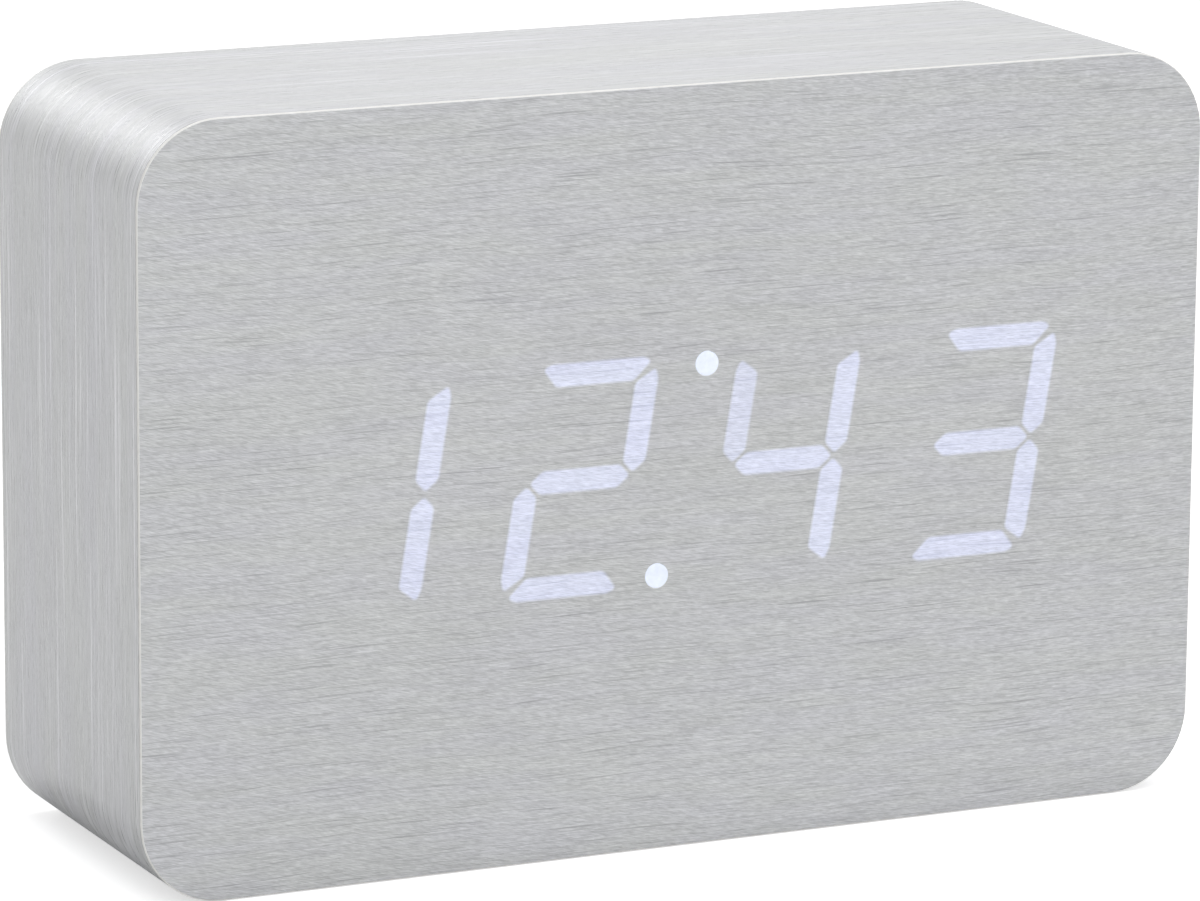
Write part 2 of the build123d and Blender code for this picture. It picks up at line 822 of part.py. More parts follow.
# Contact springs: one conical coil at each cell's flat end
with BuildPart() as contact_springs:
    steps = int(spring_turns * arcs_per_turn)
    for number, rise in enumerate(cell_rises):
        heading = -1 if number % 2 == 0 else 1
        start_x = bay_left_x + contact_thickness
        if heading < 0:
            start_x = bay_right_x - contact_thickness
        with BuildLine() as coil:
            for step in range(steps):
                here, way = spring_point(start_x, heading, rise, spring_turns * step / steps)
                there, next_way = spring_point(start_x, heading, rise, spring_turns * (step + 1) / steps)
                middle, middle_way = arc_joint(here, way, there, next_way)
                TangentArc(here, middle, tangent=way)
                TangentArc(middle, there, tangent=middle_way)
        with BuildSketch(Plane(origin=coil.line @ 0, z_dir=coil.line % 0)):
            RegularPolygon(spring_wire / 2, wire_sides)
        sweep(path=coil.line)
    least_gap = spring_length
    sample_count = int(spring_turns * samples_per_turn)
    samples = [spring_point(0, 1, 0, step / samples_per_turn)[0] for step in range(sample_count + 1)]
    for first, point in enumerate(samples):
        for other in samples[first + samples_per_turn :]:
            least_gap = min(least_gap, (point - other).length - spring_wire)
    print("contact springs, least gap between turns:", round(least_gap, 2))
contact_springs.part.label = "contact_springs"
export_step(contact_springs.part, "parts/contact_springs.step")

# Control board: on the posts and ribs of the rear panel, beside the battery bay
with BuildPart() as control_board:
    with BuildSketch(facing(control_back_y)) as control_outline:
        with Locations((control_x, 0)):
            Rectangle(control_width, control_height)
        chamfer(control_outline.vertices(), board_corner)
        with Locations(*post_places):
            Circle(board_screw_radius + board_screw_play, mode=Mode.SUBTRACT)
    extrude(amount=board_thickness)
control_board.part.label = "control_board"
export_step(control_board.part, "parts/control_board.step")

control_screws = make_board_screws(post_places, control_front_y, -1)
control_screws.part.label = "control_screws"
export_step(control_screws.part, "parts/control_screws.step")

controller_chip = leaded_chip(
    control_x + controller_side, controller_rise, control_front_y, -1, controller_pin_count
)
controller_chip.part.label = "controller_chip"
export_step(controller_chip.part, "parts/controller_chip.step")

# Crystal: a small can lying on the board
with BuildPart() as crystal:
    crystal_plane = Plane(
        origin=(
            control_x + crystal_side - crystal_length / 2,
            control_front_y - crystal_radius - seat_gap,
            mid_height + crystal_rise,
        ),
        x_dir=(0, 1, 0),
        z_dir=(1, 0, 0),
    )
    with BuildSketch(crystal_plane):
        Circle(crystal_radius)
    extrude(amount=crystal_length)
crystal.part.label = "crystal"
export_step(crystal.part, "parts/crystal.step")

# Buzzer: a round case with a sound hole in its top
with BuildPart() as buzzer:
    with BuildSketch(facing(control_front_y)):
        with Locations((control_x + buzzer_side, buzzer_rise)):
            Circle(buzzer_radius)
    extrude(amount=buzzer_height)
    with BuildSketch(facing(control_front_y - buzzer_height + buzzer_hole_depth)):
        with Locations((control_x + buzzer_side, buzzer_rise)):
            Circle(buzzer_hole_radius)
    extrude(amount=buzzer_hole_depth, mode=Mode.SUBTRACT)
buzzer.part.label = "buzzer"
export_step(buzzer.part, "parts/buzzer.step")

# Capacitor: an upright can
with BuildPart() as capacitor:
    with BuildSketch(facing(control_front_y)):
        with Locations((control_x + capacitor_side, capacitor_rise)):
            Circle(capacitor_radius)
    extrude(amount=capacitor_height)
capacitor.part.label = "capacitor"
export_step(capacitor.part, "parts/capacitor.step")

# Ribbon cable and its two sockets: the link between the boards, stepped down by ribbon_step
socket_x = control_x + socket_side
upper_rise = socket_rise + ribbon_step / 2
lower_rise = socket_rise - ribbon_step / 2
ribbon_start_y = display_board_back_y + socket_height
ribbon_end_y = control_front_y - socket_height
ribbon_run = (ribbon_end_y - ribbon_start_y) * ribbon_run_share
with BuildPart() as display_socket:
    with BuildSketch(facing(ribbon_start_y)):
        with Locations((socket_x, upper_rise)):
            Rectangle(socket_length, socket_width)
    extrude(amount=socket_height)
    chamfer(display_socket.faces().sort_by(Axis.Y)[-1].edges(), chip_bevel)
display_socket.part.label = "display_socket"
export_step(display_socket.part, "parts/display_socket.step")

with BuildPart() as control_socket:
    with BuildSketch(facing(control_front_y)):
        with Locations((socket_x, lower_rise)):
            Rectangle(socket_length, socket_width)
    extrude(amount=socket_height)
    chamfer(control_socket.faces().sort_by(Axis.Y)[0].edges(), chip_bevel)
control_socket.part.label = "control_socket"
export_step(control_socket.part, "parts/control_socket.step")

with BuildPart() as ribbon_cable:
    ribbon_plane = Plane(
        origin=(socket_x - ribbon_width / 2, 0, mid_height), x_dir=(0, 1, 0), z_dir=(1, 0, 0)
    )
    with BuildSketch(ribbon_plane):
        with BuildLine():
            FilletPolyline(
                (ribbon_start_y, upper_rise),
                (ribbon_start_y + ribbon_run, upper_rise),
                (ribbon_end_y - ribbon_run, lower_rise),
                (ribbon_end_y, lower_rise),
                radius=ribbon_radius,
            )
        trace(line_width=ribbon_thickness)
    extrude(amount=ribbon_width)
ribbon_cable.part.label = "ribbon_cable"
export_step(ribbon_cable.part, "parts/ribbon_cable.step")

# Battery leads: from the tabs of the end contacts to the control board
with BuildPart() as battery_leads:
    lead_y = bay_out_y - battery_lead_rise
    lead_x = control_right_x - battery_lead_inset
    for rise in (cell_rises[0], cell_rises[-1]):
        with BuildLine() as lead:
            FilletPolyline(
                (bay_left_x, lead_y, mid_height + rise),
                (lead_x, lead_y, mid_height + rise),
                (lead_x, control_front_y, mid_height + rise),
                radius=battery_lead_bend,
            )
        with BuildSketch(Plane(origin=lead.line @ 0, z_dir=lead.line % 0)):
            RegularPolygon(battery_lead_radius, wire_sides)
        sweep(path=lead.line)
battery_leads.part.label = "battery_leads"
export_step(battery_leads.part, "parts/battery_leads.step")

# Buttons: a round cap with a square flange that keeps it in and bears on the switch's plunger
for name, x in zip(button_names, button_xs):
    with BuildPart() as button:
        with BuildSketch(facing(button_top_y)):
            with Locations((x, button_rise)):
                Circle(button_radius)
        extrude(amount=button_top_y - flange_top_y)
        with BuildSketch(facing(flange_top_y)):
            with Locations((x, button_rise)):
                Rectangle(button_flange_size, button_flange_size)
        extrude(amount=button_flange_height)
    button.part.label = f"{name}_button"
    export_step(button.part, f"parts/{name}_button.step")

    with BuildPart() as plunger:
        with BuildSketch(facing(flange_bottom_y)):
            with Locations((x, button_rise)):
                Rectangle(plunger_size, plunger_size)
        extrude(amount=flange_bottom_y - plunger_bottom_y)
    plunger.part.label = f"{name}_plunger"
    export_step(plunger.part, f"parts/{name}_plunger.step")

    with BuildPart() as tact:
        with BuildSketch(facing(tact_top_y)):
            with Locations((x, button_rise)):
                Rectangle(tact_size, tact_size)
        extrude(amount=tact_height)
        with BuildSketch(facing(tact_top_y)):
            with Locations((x, button_rise)):
                Rectangle(plunger_size + 2 * plunger_gap, plunger_size + 2 * plunger_gap)
        extrude(amount=tact_bore, mode=Mode.SUBTRACT)
    tact.part.label = f"{name}_switch"
    export_step(tact.part, f"parts/{name}_switch.step")

# Sound switch: a can with a pocket for the lever, and the knob that slides in the panel's slot
knob_top_y = panel_y + knob_proud
knob_bottom_y = switch_top_y + knob_lift
lever_bottom_y = switch_top_y - lever_depth
with BuildPart() as sound_switch_case:
    with BuildSketch(facing(switch_top_y)):
        with Locations((switch_x + switch_travel / 2, -switch_drop)):
            Rectangle(switch_length, switch_width)
    extrude(amount=switch_height)
    with BuildSketch(facing(switch_top_y)):
        with Locations((switch_x + switch_travel / 2, -switch_drop)):
            Rectangle(lever_length + switch_travel + 2 * knob_gap, lever_width + 2 * knob_gap)
    extrude(amount=switch_height - switch_wall, mode=Mode.SUBTRACT)
sound_switch_case.part.label = "sound_switch_case"
export_step(sound_switch_case.part, "parts/sound_switch_case.step")

with BuildPart() as sound_switch_knob:
    with BuildSketch(facing(knob_top_y)):
        with Locations((switch_x, -switch_drop)):
            Rectangle(knob_length, knob_width)
    extrude(amount=knob_top_y - knob_bottom_y)
    with BuildSketch(facing(knob_bottom_y)):
        with Locations((switch_x, -switch_drop)):
            Rectangle(lever_length, lever_width)
    extrude(amount=knob_bottom_y - lever_bottom_y)
    with BuildSketch(facing(knob_top_y)):
        with Locations((switch_x, -switch_drop)):
            with GridLocations(2 * knob_groove, 0, knob_groove_count, 1):
                Rectangle(knob_groove, knob_width)
    extrude(amount=knob_groove, mode=Mode.SUBTRACT)
sound_switch_knob.part.label = "sound_switch_knob"
export_step(sound_switch_knob.part, "parts/sound_switch_knob.step")

# Power jack: a block on the control board whose nose fills the hole in the panel
with BuildPart() as power_jack:
    with BuildSketch(facing(panel_in_y)):
        with Locations((jack_x, -jack_drop)):
            Rectangle(jack_size, jack_size)
    extrude(amount=post_height)
    with BuildSketch(facing(panel_y)):
        with Locations((jack_x, -jack_drop)):
            Circle(jack_nose_radius)
    extrude(amount=panel_thickness)
    with BuildSketch(facing(panel_y)):
        with Locations((jack_x, -jack_drop)):
            Circle(jack_bore_radius)
    extrude(amount=panel_thickness + post_height - jack_bore_floor, mode=Mode.SUBTRACT)
power_jack.part.label = "power_jack"
export_step(power_jack.part, "parts/power_jack.step")

jack_floor_y = control_back_y + jack_bore_floor
jack_tip_y = panel_y - jack_pin_setback
with BuildPart() as jack_pin:
    with BuildSketch(facing(jack_tip_y)):
        with Locations((jack_x, -jack_drop)):
            Circle(jack_pin_radius)
    extrude(amount=jack_tip_y - jack_floor_y)
jack_pin.part.label = "jack_pin"
export_step(jack_pin.part, "parts/jack_pin.step")

# Microphone: a capsule against the back of its hole, on two leads from the control board
with BuildPart() as microphone:
    with BuildSketch(facing(panel_in_y)):
        with Locations((control_x, -mic_drop)):
            Circle(mic_radius)
    extrude(amount=mic_length)
    with BuildSketch(facing(panel_in_y - mic_length)):
        with Locations((control_x, -mic_drop)):
            with GridLocations(mic_lead_spacing, 0, 2, 1):
                Rectangle(lead_size, lead_size)
    extrude(amount=post_height - mic_length)
microphone.part.label = "microphone"
export_step(microphone.part, "parts/microphone.step")

# Temperature sensor: a bead on two leads, behind the vent slots
sensor_y = panel_in_y - sensor_vent_gap
with BuildPart() as temperature_sensor:
    with BuildSketch(facing(sensor_y)):
        with Locations((control_x, -sensor_drop)):
            Circle(sensor_radius)
    extrude(amount=sensor_length)
    with BuildSketch(facing(sensor_y - sensor_length)):
        with Locations((control_x, -sensor_drop)):
            with GridLocations(sensor_lead_spacing, 0, 2, 1):
                Rectangle(lead_size, lead_size)
    extrude(amount=sensor_y - sensor_length - control_back_y)
temperature_sensor.part.label = "temperature_sensor"
export_step(temperature_sensor.part, "parts/temperature_sensor.step")
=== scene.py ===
import math
import bmesh
import bpy
from mathutils import Matrix, Vector


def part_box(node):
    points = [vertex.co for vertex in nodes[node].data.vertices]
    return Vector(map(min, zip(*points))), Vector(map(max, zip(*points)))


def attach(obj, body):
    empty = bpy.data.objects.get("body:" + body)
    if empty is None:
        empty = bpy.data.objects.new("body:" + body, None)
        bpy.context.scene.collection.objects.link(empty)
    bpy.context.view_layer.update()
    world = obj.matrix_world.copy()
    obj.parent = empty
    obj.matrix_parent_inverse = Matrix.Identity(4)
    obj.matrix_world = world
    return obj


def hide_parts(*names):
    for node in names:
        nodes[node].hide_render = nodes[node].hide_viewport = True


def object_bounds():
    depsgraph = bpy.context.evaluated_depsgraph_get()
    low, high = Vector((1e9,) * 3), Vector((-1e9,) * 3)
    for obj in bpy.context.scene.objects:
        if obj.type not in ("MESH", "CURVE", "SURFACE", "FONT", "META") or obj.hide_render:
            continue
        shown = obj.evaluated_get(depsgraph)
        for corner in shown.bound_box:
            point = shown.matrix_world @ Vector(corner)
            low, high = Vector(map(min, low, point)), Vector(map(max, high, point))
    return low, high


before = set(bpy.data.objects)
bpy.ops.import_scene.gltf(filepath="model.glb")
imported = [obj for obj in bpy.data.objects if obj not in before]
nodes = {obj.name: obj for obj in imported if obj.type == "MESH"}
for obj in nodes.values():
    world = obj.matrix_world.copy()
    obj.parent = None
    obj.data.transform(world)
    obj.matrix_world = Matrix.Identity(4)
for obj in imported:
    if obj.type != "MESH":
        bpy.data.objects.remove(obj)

# Desk clock in brushed laminate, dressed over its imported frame. The scene is in metres. The pieces
# and finishes are described in millimetres, and the stage around the clock in metres.
mm = 0.001
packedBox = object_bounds()
print("frame loaded:", len(nodes), "nodes")


# Small tools for shaders

mostNoise = (0.3, 0.7)  # nearly all of a noise lies between these values
noiseMiddle = 0.5


def srgb(red, green, blue):  # 0 to 255 as seen, to the linear colour that a shader takes
    def linear(value):
        value = value / 255
        return value / 12.92 if value <= 0.04045 else ((value + 0.055) / 1.055) ** 2.4
    return (linear(red), linear(green), linear(blue), 1.0)


def addNode(tree, kind, **settings):
    node = tree.nodes.new(kind)
    for name, value in settings.items():
        setattr(node, name, value)
    return node


def startMaterial(name, roughness=0.5, metallic=0.0):
    material = bpy.data.materials.new(name)
    material.use_nodes = True
    tree = material.node_tree
    shader = tree.nodes["Principled BSDF"]
    shader.inputs["Roughness"].default_value = roughness
    shader.inputs["Metallic"].default_value = metallic
    place = addNode(tree, "ShaderNodeTexCoord")
    return material, tree, shader, place.outputs["Object"]


def math2(tree, operation, first, second):  # either side may be a socket or a number
    node = addNode(tree, "ShaderNodeMath", operation=operation)
    for socket, value in zip(node.inputs, (first, second)):
        if isinstance(value, (int, float)):
            socket.default_value = value
        else:
            tree.links.new(value, socket)
    return node.outputs[0]


def stretch(tree, value, low, high, toLow=0.0, toHigh=1.0):
    node = addNode(tree, "ShaderNodeMapRange")
    tree.links.new(value, node.inputs["Value"])
    for name, number in (("From Min", low), ("From Max", high), ("To Min", toLow), ("To Max", toHigh)):
        node.inputs[name].default_value = number
    return node.outputs["Result"]


def noiseLayer(tree, place, size, detail=3.0, rough=0.55):
    # size is the length of one patch along X, Y and Z, in millimetres
    mapping = addNode(tree, "ShaderNodeMapping")
    mapping.inputs["Scale"].default_value = [1 / (length * mm) for length in size]
    tree.links.new(place, mapping.inputs["Vector"])
    noise = addNode(tree, "ShaderNodeTexNoise")
    noise.inputs["Scale"].default_value = 1.0
    noise.inputs["Detail"].default_value = detail
    noise.inputs["Roughness"].default_value = rough
    tree.links.new(mapping.outputs["Vector"], noise.inputs["Vector"])
    return noise.outputs["Fac"]


def shifted(tree, place, axis, push):  # the pattern moved along one axis by a value that varies
    offset = addNode(tree, "ShaderNodeCombineXYZ")
    tree.links.new(push, offset.inputs[axis])
    moved = addNode(tree, "ShaderNodeVectorMath", operation="ADD")
    tree.links.new(place, moved.inputs[0])
    tree.links.new(offset.outputs[0], moved.inputs[1])
    return moved.outputs[0]


def blended(tree, first, second, firstShare):  # the second value makes up the rest
    return math2(tree, "ADD", math2(tree, "MULTIPLY", first, firstShare),
                 math2(tree, "MULTIPLY", second, 1 - firstShare))


def mixColors(tree, factor, first, second, blend="MIX"):
    node = addNode(tree, "ShaderNodeMix", data_type="RGBA", blend_type=blend)
    factorSocket, firstSocket, secondSocket = node.inputs[0], node.inputs[6], node.inputs[7]
    for socket, value in ((factorSocket, factor), (firstSocket, first), (secondSocket, second)):
        if isinstance(value, (int, float, tuple)):
            socket.default_value = value
        else:
            tree.links.new(value, socket)
    return node.outputs[2]


def addBump(tree, shader, height, depth, strength=1.0):
    bump = addNode(tree, "ShaderNodeBump")
    bump.inputs["Strength"].default_value = strength
    bump.inputs["Distance"].default_value = depth
    tree.links.new(height, bump.inputs["Height"])
    tree.links.new(bump.outputs["Normal"], shader.inputs["Normal"])


# Brushed laminate. The grain is noise drawn out along two axes and narrow along the third, so on
# the band it follows the corners round.

laminate = {
    "dark": srgb(168, 169, 170),
    "light": srgb(214, 215, 216),
    "toneSpan": 0.2,  # how far the grain goes from its middle value to reach either colour
    "roughness": 0.42,
    "metallic": 0.22,
    "depth": 0.09,
    "bump": 0.6,
    "fine": (1.0, 0.12),  # length and width of a streak
    "middle": (4.5, 0.2),
    "long": (11, 0.2),
    "fineShare": 0.68,  # of the grain; the middle streaks make up the rest
    "level": 90,  # the place along X where the fine streaks run level
    "bend": 0.000755,  # they rise by this times the square of the distance from there
    "drift": 0.9,  # how far a streak wanders sideways
    "driftPatch": (34, 34, 34),
    "scratch": srgb(146, 147, 149),
    "glint": srgb(230, 230, 233),
    "scored": (0.61, 0.75, 0.7),  # where a scratch starts, where it is full, and how strong it is
    "warm": (1.0, 1.003, 0.99, 1.0),
    "cool": (0.996, 0.993, 1.01, 1.0),
    "hueStreak": (16, 3),
    "cloud": (0.985, 1.015),  # whole patches are a little darker or lighter
    "cloudPatch": (60, 40, 26),
    "middling": (0.35, 0.65),  # the part of the noise that the hue and the polish follow
}


def leaned(tree, place, wander, across):  # the fine streaks rise towards the clock's left end
    parts = addNode(tree, "ShaderNodeSeparateXYZ")
    tree.links.new(place, parts.inputs[0])
    side = math2(tree, "SUBTRACT", parts.outputs["X"], laminate["level"] * mm)
    squared = math2(tree, "MULTIPLY", side, side)
    return shifted(tree, wander, across, math2(tree, "MULTIPLY", squared, -laminate["bend"] / mm))


def brushedLaminate(name, across, contrast=1.0, stride=1.0, breadth=1.0, relief=1.0, polish=0.07,
                    score="scratch", glow=None, lean=True):
    # across is the axis on which a streak is narrow; stride and breadth are for its length and width
    look = laminate
    material, tree, shader, place = startMaterial(name, look["roughness"], look["metallic"])

    def streaks(vector, sizes, detail=2.0):
        long, narrow = sizes
        patch = [narrow * breadth if axis == across else long * stride for axis in range(3)]
        return noiseLayer(tree, vector, patch, detail, rough=0.5)

    drift = noiseLayer(tree, place, look["driftPatch"], detail=1.0, rough=0.5)
    centred = math2(tree, "SUBTRACT", drift, noiseMiddle)
    push = math2(tree, "MULTIPLY", centred, 2 * look["drift"] * mm)
    wander = shifted(tree, place, across, push)
    fine = streaks(leaned(tree, place, wander, across) if lean else wander, look["fine"])
    middle = streaks(wander, look["middle"])
    long = streaks(wander, look["long"], detail=1.0)
    grain = blended(tree, fine, middle, look["fineShare"])

    span = look["toneSpan"] / contrast
    tone = stretch(tree, grain, noiseMiddle - span, noiseMiddle + span)
    color = mixColors(tree, tone, look["dark"], look["light"])
    starts, full, strength = look["scored"]
    color = mixColors(tree, stretch(tree, long, starts, full, 0.0, strength * contrast), color, look[score])
    hueFactor = stretch(tree, streaks(wander, look["hueStreak"]), *look["middling"])
    hue = mixColors(tree, hueFactor, look["warm"], look["cool"])
    color = mixColors(tree, 1.0, color, hue, "MULTIPLY")
    cloud = noiseLayer(tree, place, look["cloudPatch"], detail=2.0, rough=0.5)
    shade = stretch(tree, cloud, *mostNoise, *look["cloud"])
    gray = addNode(tree, "ShaderNodeCombineColor")
    for socket in gray.inputs:
        tree.links.new(shade, socket)
    color = mixColors(tree, 1.0, color, gray.outputs[0], "MULTIPLY")
    tree.links.new(color, shader.inputs["Base Color"])

    smooth, rough = look["roughness"] - polish, look["roughness"] + polish
    tree.links.new(stretch(tree, grain, *look["middling"], smooth, rough), shader.inputs["Roughness"])
    addBump(tree, shader, grain, look["depth"] * relief * mm, look["bump"])
    if glow:
        reach = addNode(tree, "ShaderNodeAttribute", attribute_name=glow["attribute"])
        level = stretch(tree, reach.outputs["Fac"], 0.0, 1.0, 0.0, glow["strength"])
        mottled = stretch(tree, grain, *mostNoise, *glow["mottle"])
        tree.links.new(math2(tree, "MULTIPLY", level, mottled), shader.inputs["Emission Strength"])
        shader.inputs["Emission Color"].default_value = glow["color"]
    return material


# The trimmed rim: a pale core colour lightened to near white, which paints a highlight along every edge of
# the skins
trimmedEdgeAndHighlight = {
    "cream": srgb(247, 246, 243),
    "greyerCoreAndHighlight": srgb(238, 237, 233),
    "roughness": 0.5,
    "speck": (1.5, 0.4, 1.5),
    "depth": 0.01,
}


def trimmedEdgeAndHighlightMaterial():  # the pale core of the sheet, where it is trimmed, made near white as a painted highlight along the edge
    look = trimmedEdgeAndHighlight
    material, tree, shader, place = startMaterial("laminateTrimmedEdgeAndHighlight", look["roughness"])
    speck = noiseLayer(tree, place, look["speck"])
    color = mixColors(tree, stretch(tree, speck, *mostNoise), look["greyerCoreAndHighlight"], look["cream"])
    tree.links.new(color, shader.inputs["Base Color"])
    addBump(tree, shader, speck, look["depth"] * mm)
    return material


# Plainer finishes share one recipe: two colours mixed by one noise, and a bump from a finer one

finishes = {
    "fibreboard": {
        "colors": (srgb(150, 118, 84), srgb(190, 158, 120)), "roughness": 0.85, "patch": (1.2, 1.2, 1.2),
        "pits": (0.25, 0.25, 0.25), "depth": 0.12,
    },
    "moulding": {
        "colors": (srgb(28, 28, 30), srgb(42, 42, 44)), "roughness": 0.44, "patch": (0.5, 0.5, 0.5),
        "pits": (0.3, 0.3, 0.3), "depth": 0.06,
    },
    "buttonRubber": {
        "colors": (srgb(46, 46, 48), srgb(56, 56, 59)), "roughness": 0.7, "patch": (1.6, 1.6, 1.6),
        "pits": (0.12, 0.12, 0.12), "depth": 0.02,
    },
    "markInk": {
        "colors": (srgb(186, 186, 184), srgb(204, 204, 202)), "roughness": 0.6, "patch": (0.4, 0.4, 0.4),
        "pits": (0.1, 0.1, 0.1), "depth": 0.008,
    },
    "whiteReflector": {
        "colors": (srgb(226, 226, 224), srgb(240, 240, 238)), "roughness": 0.4, "patch": (5, 5, 5),
        "pits": (0.4, 0.4, 0.4), "depth": 0.01,
    },
    "milkyDiffuser": {
        "colors": (srgb(216, 216, 214), srgb(232, 232, 232)), "roughness": 0.35, "patch": (3, 3, 3),
        "pits": (0.3, 0.3, 0.3), "depth": 0.01,
    },
    "lampBody": {
        "colors": (srgb(236, 226, 170), srgb(244, 238, 204)), "roughness": 0.3, "patch": (0.4, 0.4, 0.4),
        "pits": (0.1, 0.1, 0.1), "depth": 0.005,
    },
    "chipBlack": {
        "colors": (srgb(34, 34, 36), srgb(48, 48, 50)), "roughness": 0.6, "patch": (1.0, 1.0, 1.0),
        "pits": (0.15, 0.15, 0.15), "depth": 0.02,
    },
    "blackZinc": {
        "colors": (srgb(58, 58, 60), srgb(92, 92, 94)), "roughness": 0.36, "metallic": 0.9,
        "patch": (0.8, 0.8, 0.8), "pits": (0.1, 0.1, 0.1), "depth": 0.01,
    },
    "nickel": {
        "colors": (srgb(188, 184, 174), srgb(216, 212, 204)), "roughness": 0.28, "metallic": 1.0,
        "patch": (2.5, 0.5, 2.5), "pits": (1.5, 0.08, 1.5), "depth": 0.006,
    },
    "bareSteel": {
        "colors": (srgb(172, 174, 178), srgb(206, 208, 211)), "roughness": 0.32, "metallic": 1.0,
        "patch": (1.4, 1.4, 1.4), "pits": (0.1, 1.2, 0.1), "depth": 0.006,
    },
    "drawnCan": {
        "colors": (srgb(184, 186, 188), srgb(214, 216, 218)), "roughness": 0.3, "metallic": 1.0,
        "patch": (0.5, 2.5, 0.5), "pits": (0.1, 1.6, 0.1), "depth": 0.008,
    },
    "cellSleeve": {
        "colors": (srgb(28, 44, 66), srgb(38, 56, 82)), "roughness": 0.26, "patch": (4, 4, 4),
        "pits": (0.5, 0.5, 0.5), "depth": 0.008,
    },
    "cellBand": {
        "colors": (srgb(168, 172, 178), srgb(188, 192, 198)), "roughness": 0.32, "metallic": 0.6,
        "patch": (3, 3, 3), "pits": (0.5, 0.5, 0.5), "depth": 0.002,
    },
    "blackPart": {
        "colors": (srgb(30, 30, 31), srgb(42, 42, 44)), "roughness": 0.42, "patch": (2, 2, 2),
        "pits": (0.2, 0.2, 0.2), "depth": 0.012,
    },
    "ribbonGray": {
        "colors": (srgb(150, 152, 156), srgb(172, 174, 178)), "roughness": 0.5, "patch": (0.32, 40, 40),
        "pits": (0.3, 40, 40), "depth": 0.08,
    },
    "socketNylon": {
        "colors": (srgb(222, 216, 200), srgb(234, 230, 218)), "roughness": 0.5, "patch": (2, 2, 2),
        "pits": (0.3, 0.3, 0.3), "depth": 0.01,
    },
    "leadRed": {
        "colors": (srgb(168, 30, 28), srgb(190, 44, 38)), "roughness": 0.4, "patch": (3, 3, 3),
        "pits": (0.4, 0.4, 0.4), "depth": 0.01,
    },
    "pinBrass": {
        "colors": (srgb(198, 170, 108), srgb(220, 194, 134)), "roughness": 0.26, "metallic": 1.0,
        "patch": (0.5, 2, 0.5), "pits": (0.1, 1.0, 0.1), "depth": 0.006,
    },
    "sensorBead": {
        "colors": (srgb(66, 52, 40), srgb(86, 70, 54)), "roughness": 0.34, "patch": (0.8, 0.8, 0.8),
        "pits": (0.3, 0.3, 0.3), "depth": 0.01,
    },
}
finishRecipe = {
    "patchShare": 0.7,  # of the colours; the pits make up the rest
    "span": (0.32, 0.68),
    "sway": 0.05,  # how far the roughness goes up and down
    "bump": 0.7,
}


def plainFinish(name):
    look, recipe = finishes[name], finishRecipe
    material, tree, shader, place = startMaterial(name, look["roughness"], look.get("metallic", 0.0))
    patch = noiseLayer(tree, place, look["patch"], detail=4.0)
    pits = noiseLayer(tree, place, look["pits"], detail=2.0)
    dark, light = look["colors"]
    factor = stretch(tree, blended(tree, patch, pits, recipe["patchShare"]), *recipe["span"])
    tree.links.new(mixColors(tree, factor, dark, light), shader.inputs["Base Color"])
    smooth, rough = look["roughness"] - recipe["sway"], look["roughness"] + recipe["sway"]
    tree.links.new(stretch(tree, patch, *mostNoise, smooth, rough), shader.inputs["Roughness"])
    addBump(tree, shader, pits, look["depth"] * mm, recipe["bump"])
    return material


boardLook = {
    "mask": (srgb(18, 78, 44), srgb(24, 92, 54)),
    "track": srgb(44, 122, 70),
    "roughness": 0.32,
    "cloud": (6, 6, 6),
    "pitch": 2.54,  # size of one cell of the pattern
    "fold": 0.25,  # the distance from a cell's middle is folded at this, which makes rings
    "trackFrom": (0.16, 0.19),  # a track starts and is full at these places in a ring
    "depth": 0.03,
    "bump": 0.8,
}


def circuitBoardMaterial():
    look = boardLook
    material, tree, shader, place = startMaterial("solderMask", look["roughness"])
    cloud = noiseLayer(tree, place, look["cloud"])
    color = mixColors(tree, stretch(tree, cloud, *mostNoise), *look["mask"])
    blocks = addNode(tree, "ShaderNodeTexVoronoi", distance="MANHATTAN", feature="F1")
    blocks.inputs["Scale"].default_value = 1 / (look["pitch"] * mm)
    tree.links.new(place, blocks.inputs["Vector"])
    ring = math2(tree, "PINGPONG", blocks.outputs["Distance"], look["fold"])
    track = stretch(tree, ring, *look["trackFrom"])
    tree.links.new(mixColors(tree, track, color, look["track"]), shader.inputs["Base Color"])
    addBump(tree, shader, track, look["depth"] * mm, look["bump"])
    return material


glowLook = {
    "attribute": "glow",
    "color": srgb(193, 203, 255),
    "strength": 0.35,
    "mottle": (0.86, 1.1),  # the grain shows in the light
}
dotLook = {
    "color": srgb(231, 240, 255),
    "strength": 0.71,
    "body": (srgb(146, 148, 156), srgb(156, 158, 166)),
    "roughness": 0.25,
    "ripple": (1.2, 1.2, 1.2),
    "span": (0.2, 0.8),
    "sway": 0.06,  # share by which the light goes up and down
    "depth": 0.02,
    "bump": 0.5,
}


def colonMaterial():  # a clear pin lit from behind, with a faint ripple in its light
    look = dotLook
    material, tree, shader, place = startMaterial("litPin", look["roughness"])
    ripple = noiseLayer(tree, place, look["ripple"], detail=2.0)
    color = mixColors(tree, stretch(tree, ripple, *mostNoise), *look["body"])
    tree.links.new(color, shader.inputs["Base Color"])
    shader.inputs["Emission Color"].default_value = look["color"]
    weak, strong = look["strength"] * (1 - look["sway"]), look["strength"] * (1 + look["sway"])
    tree.links.new(stretch(tree, ripple, *look["span"], weak, strong), shader.inputs["Emission Strength"])
    addBump(tree, shader, ripple, look["depth"] * mm, look["bump"])
    return material


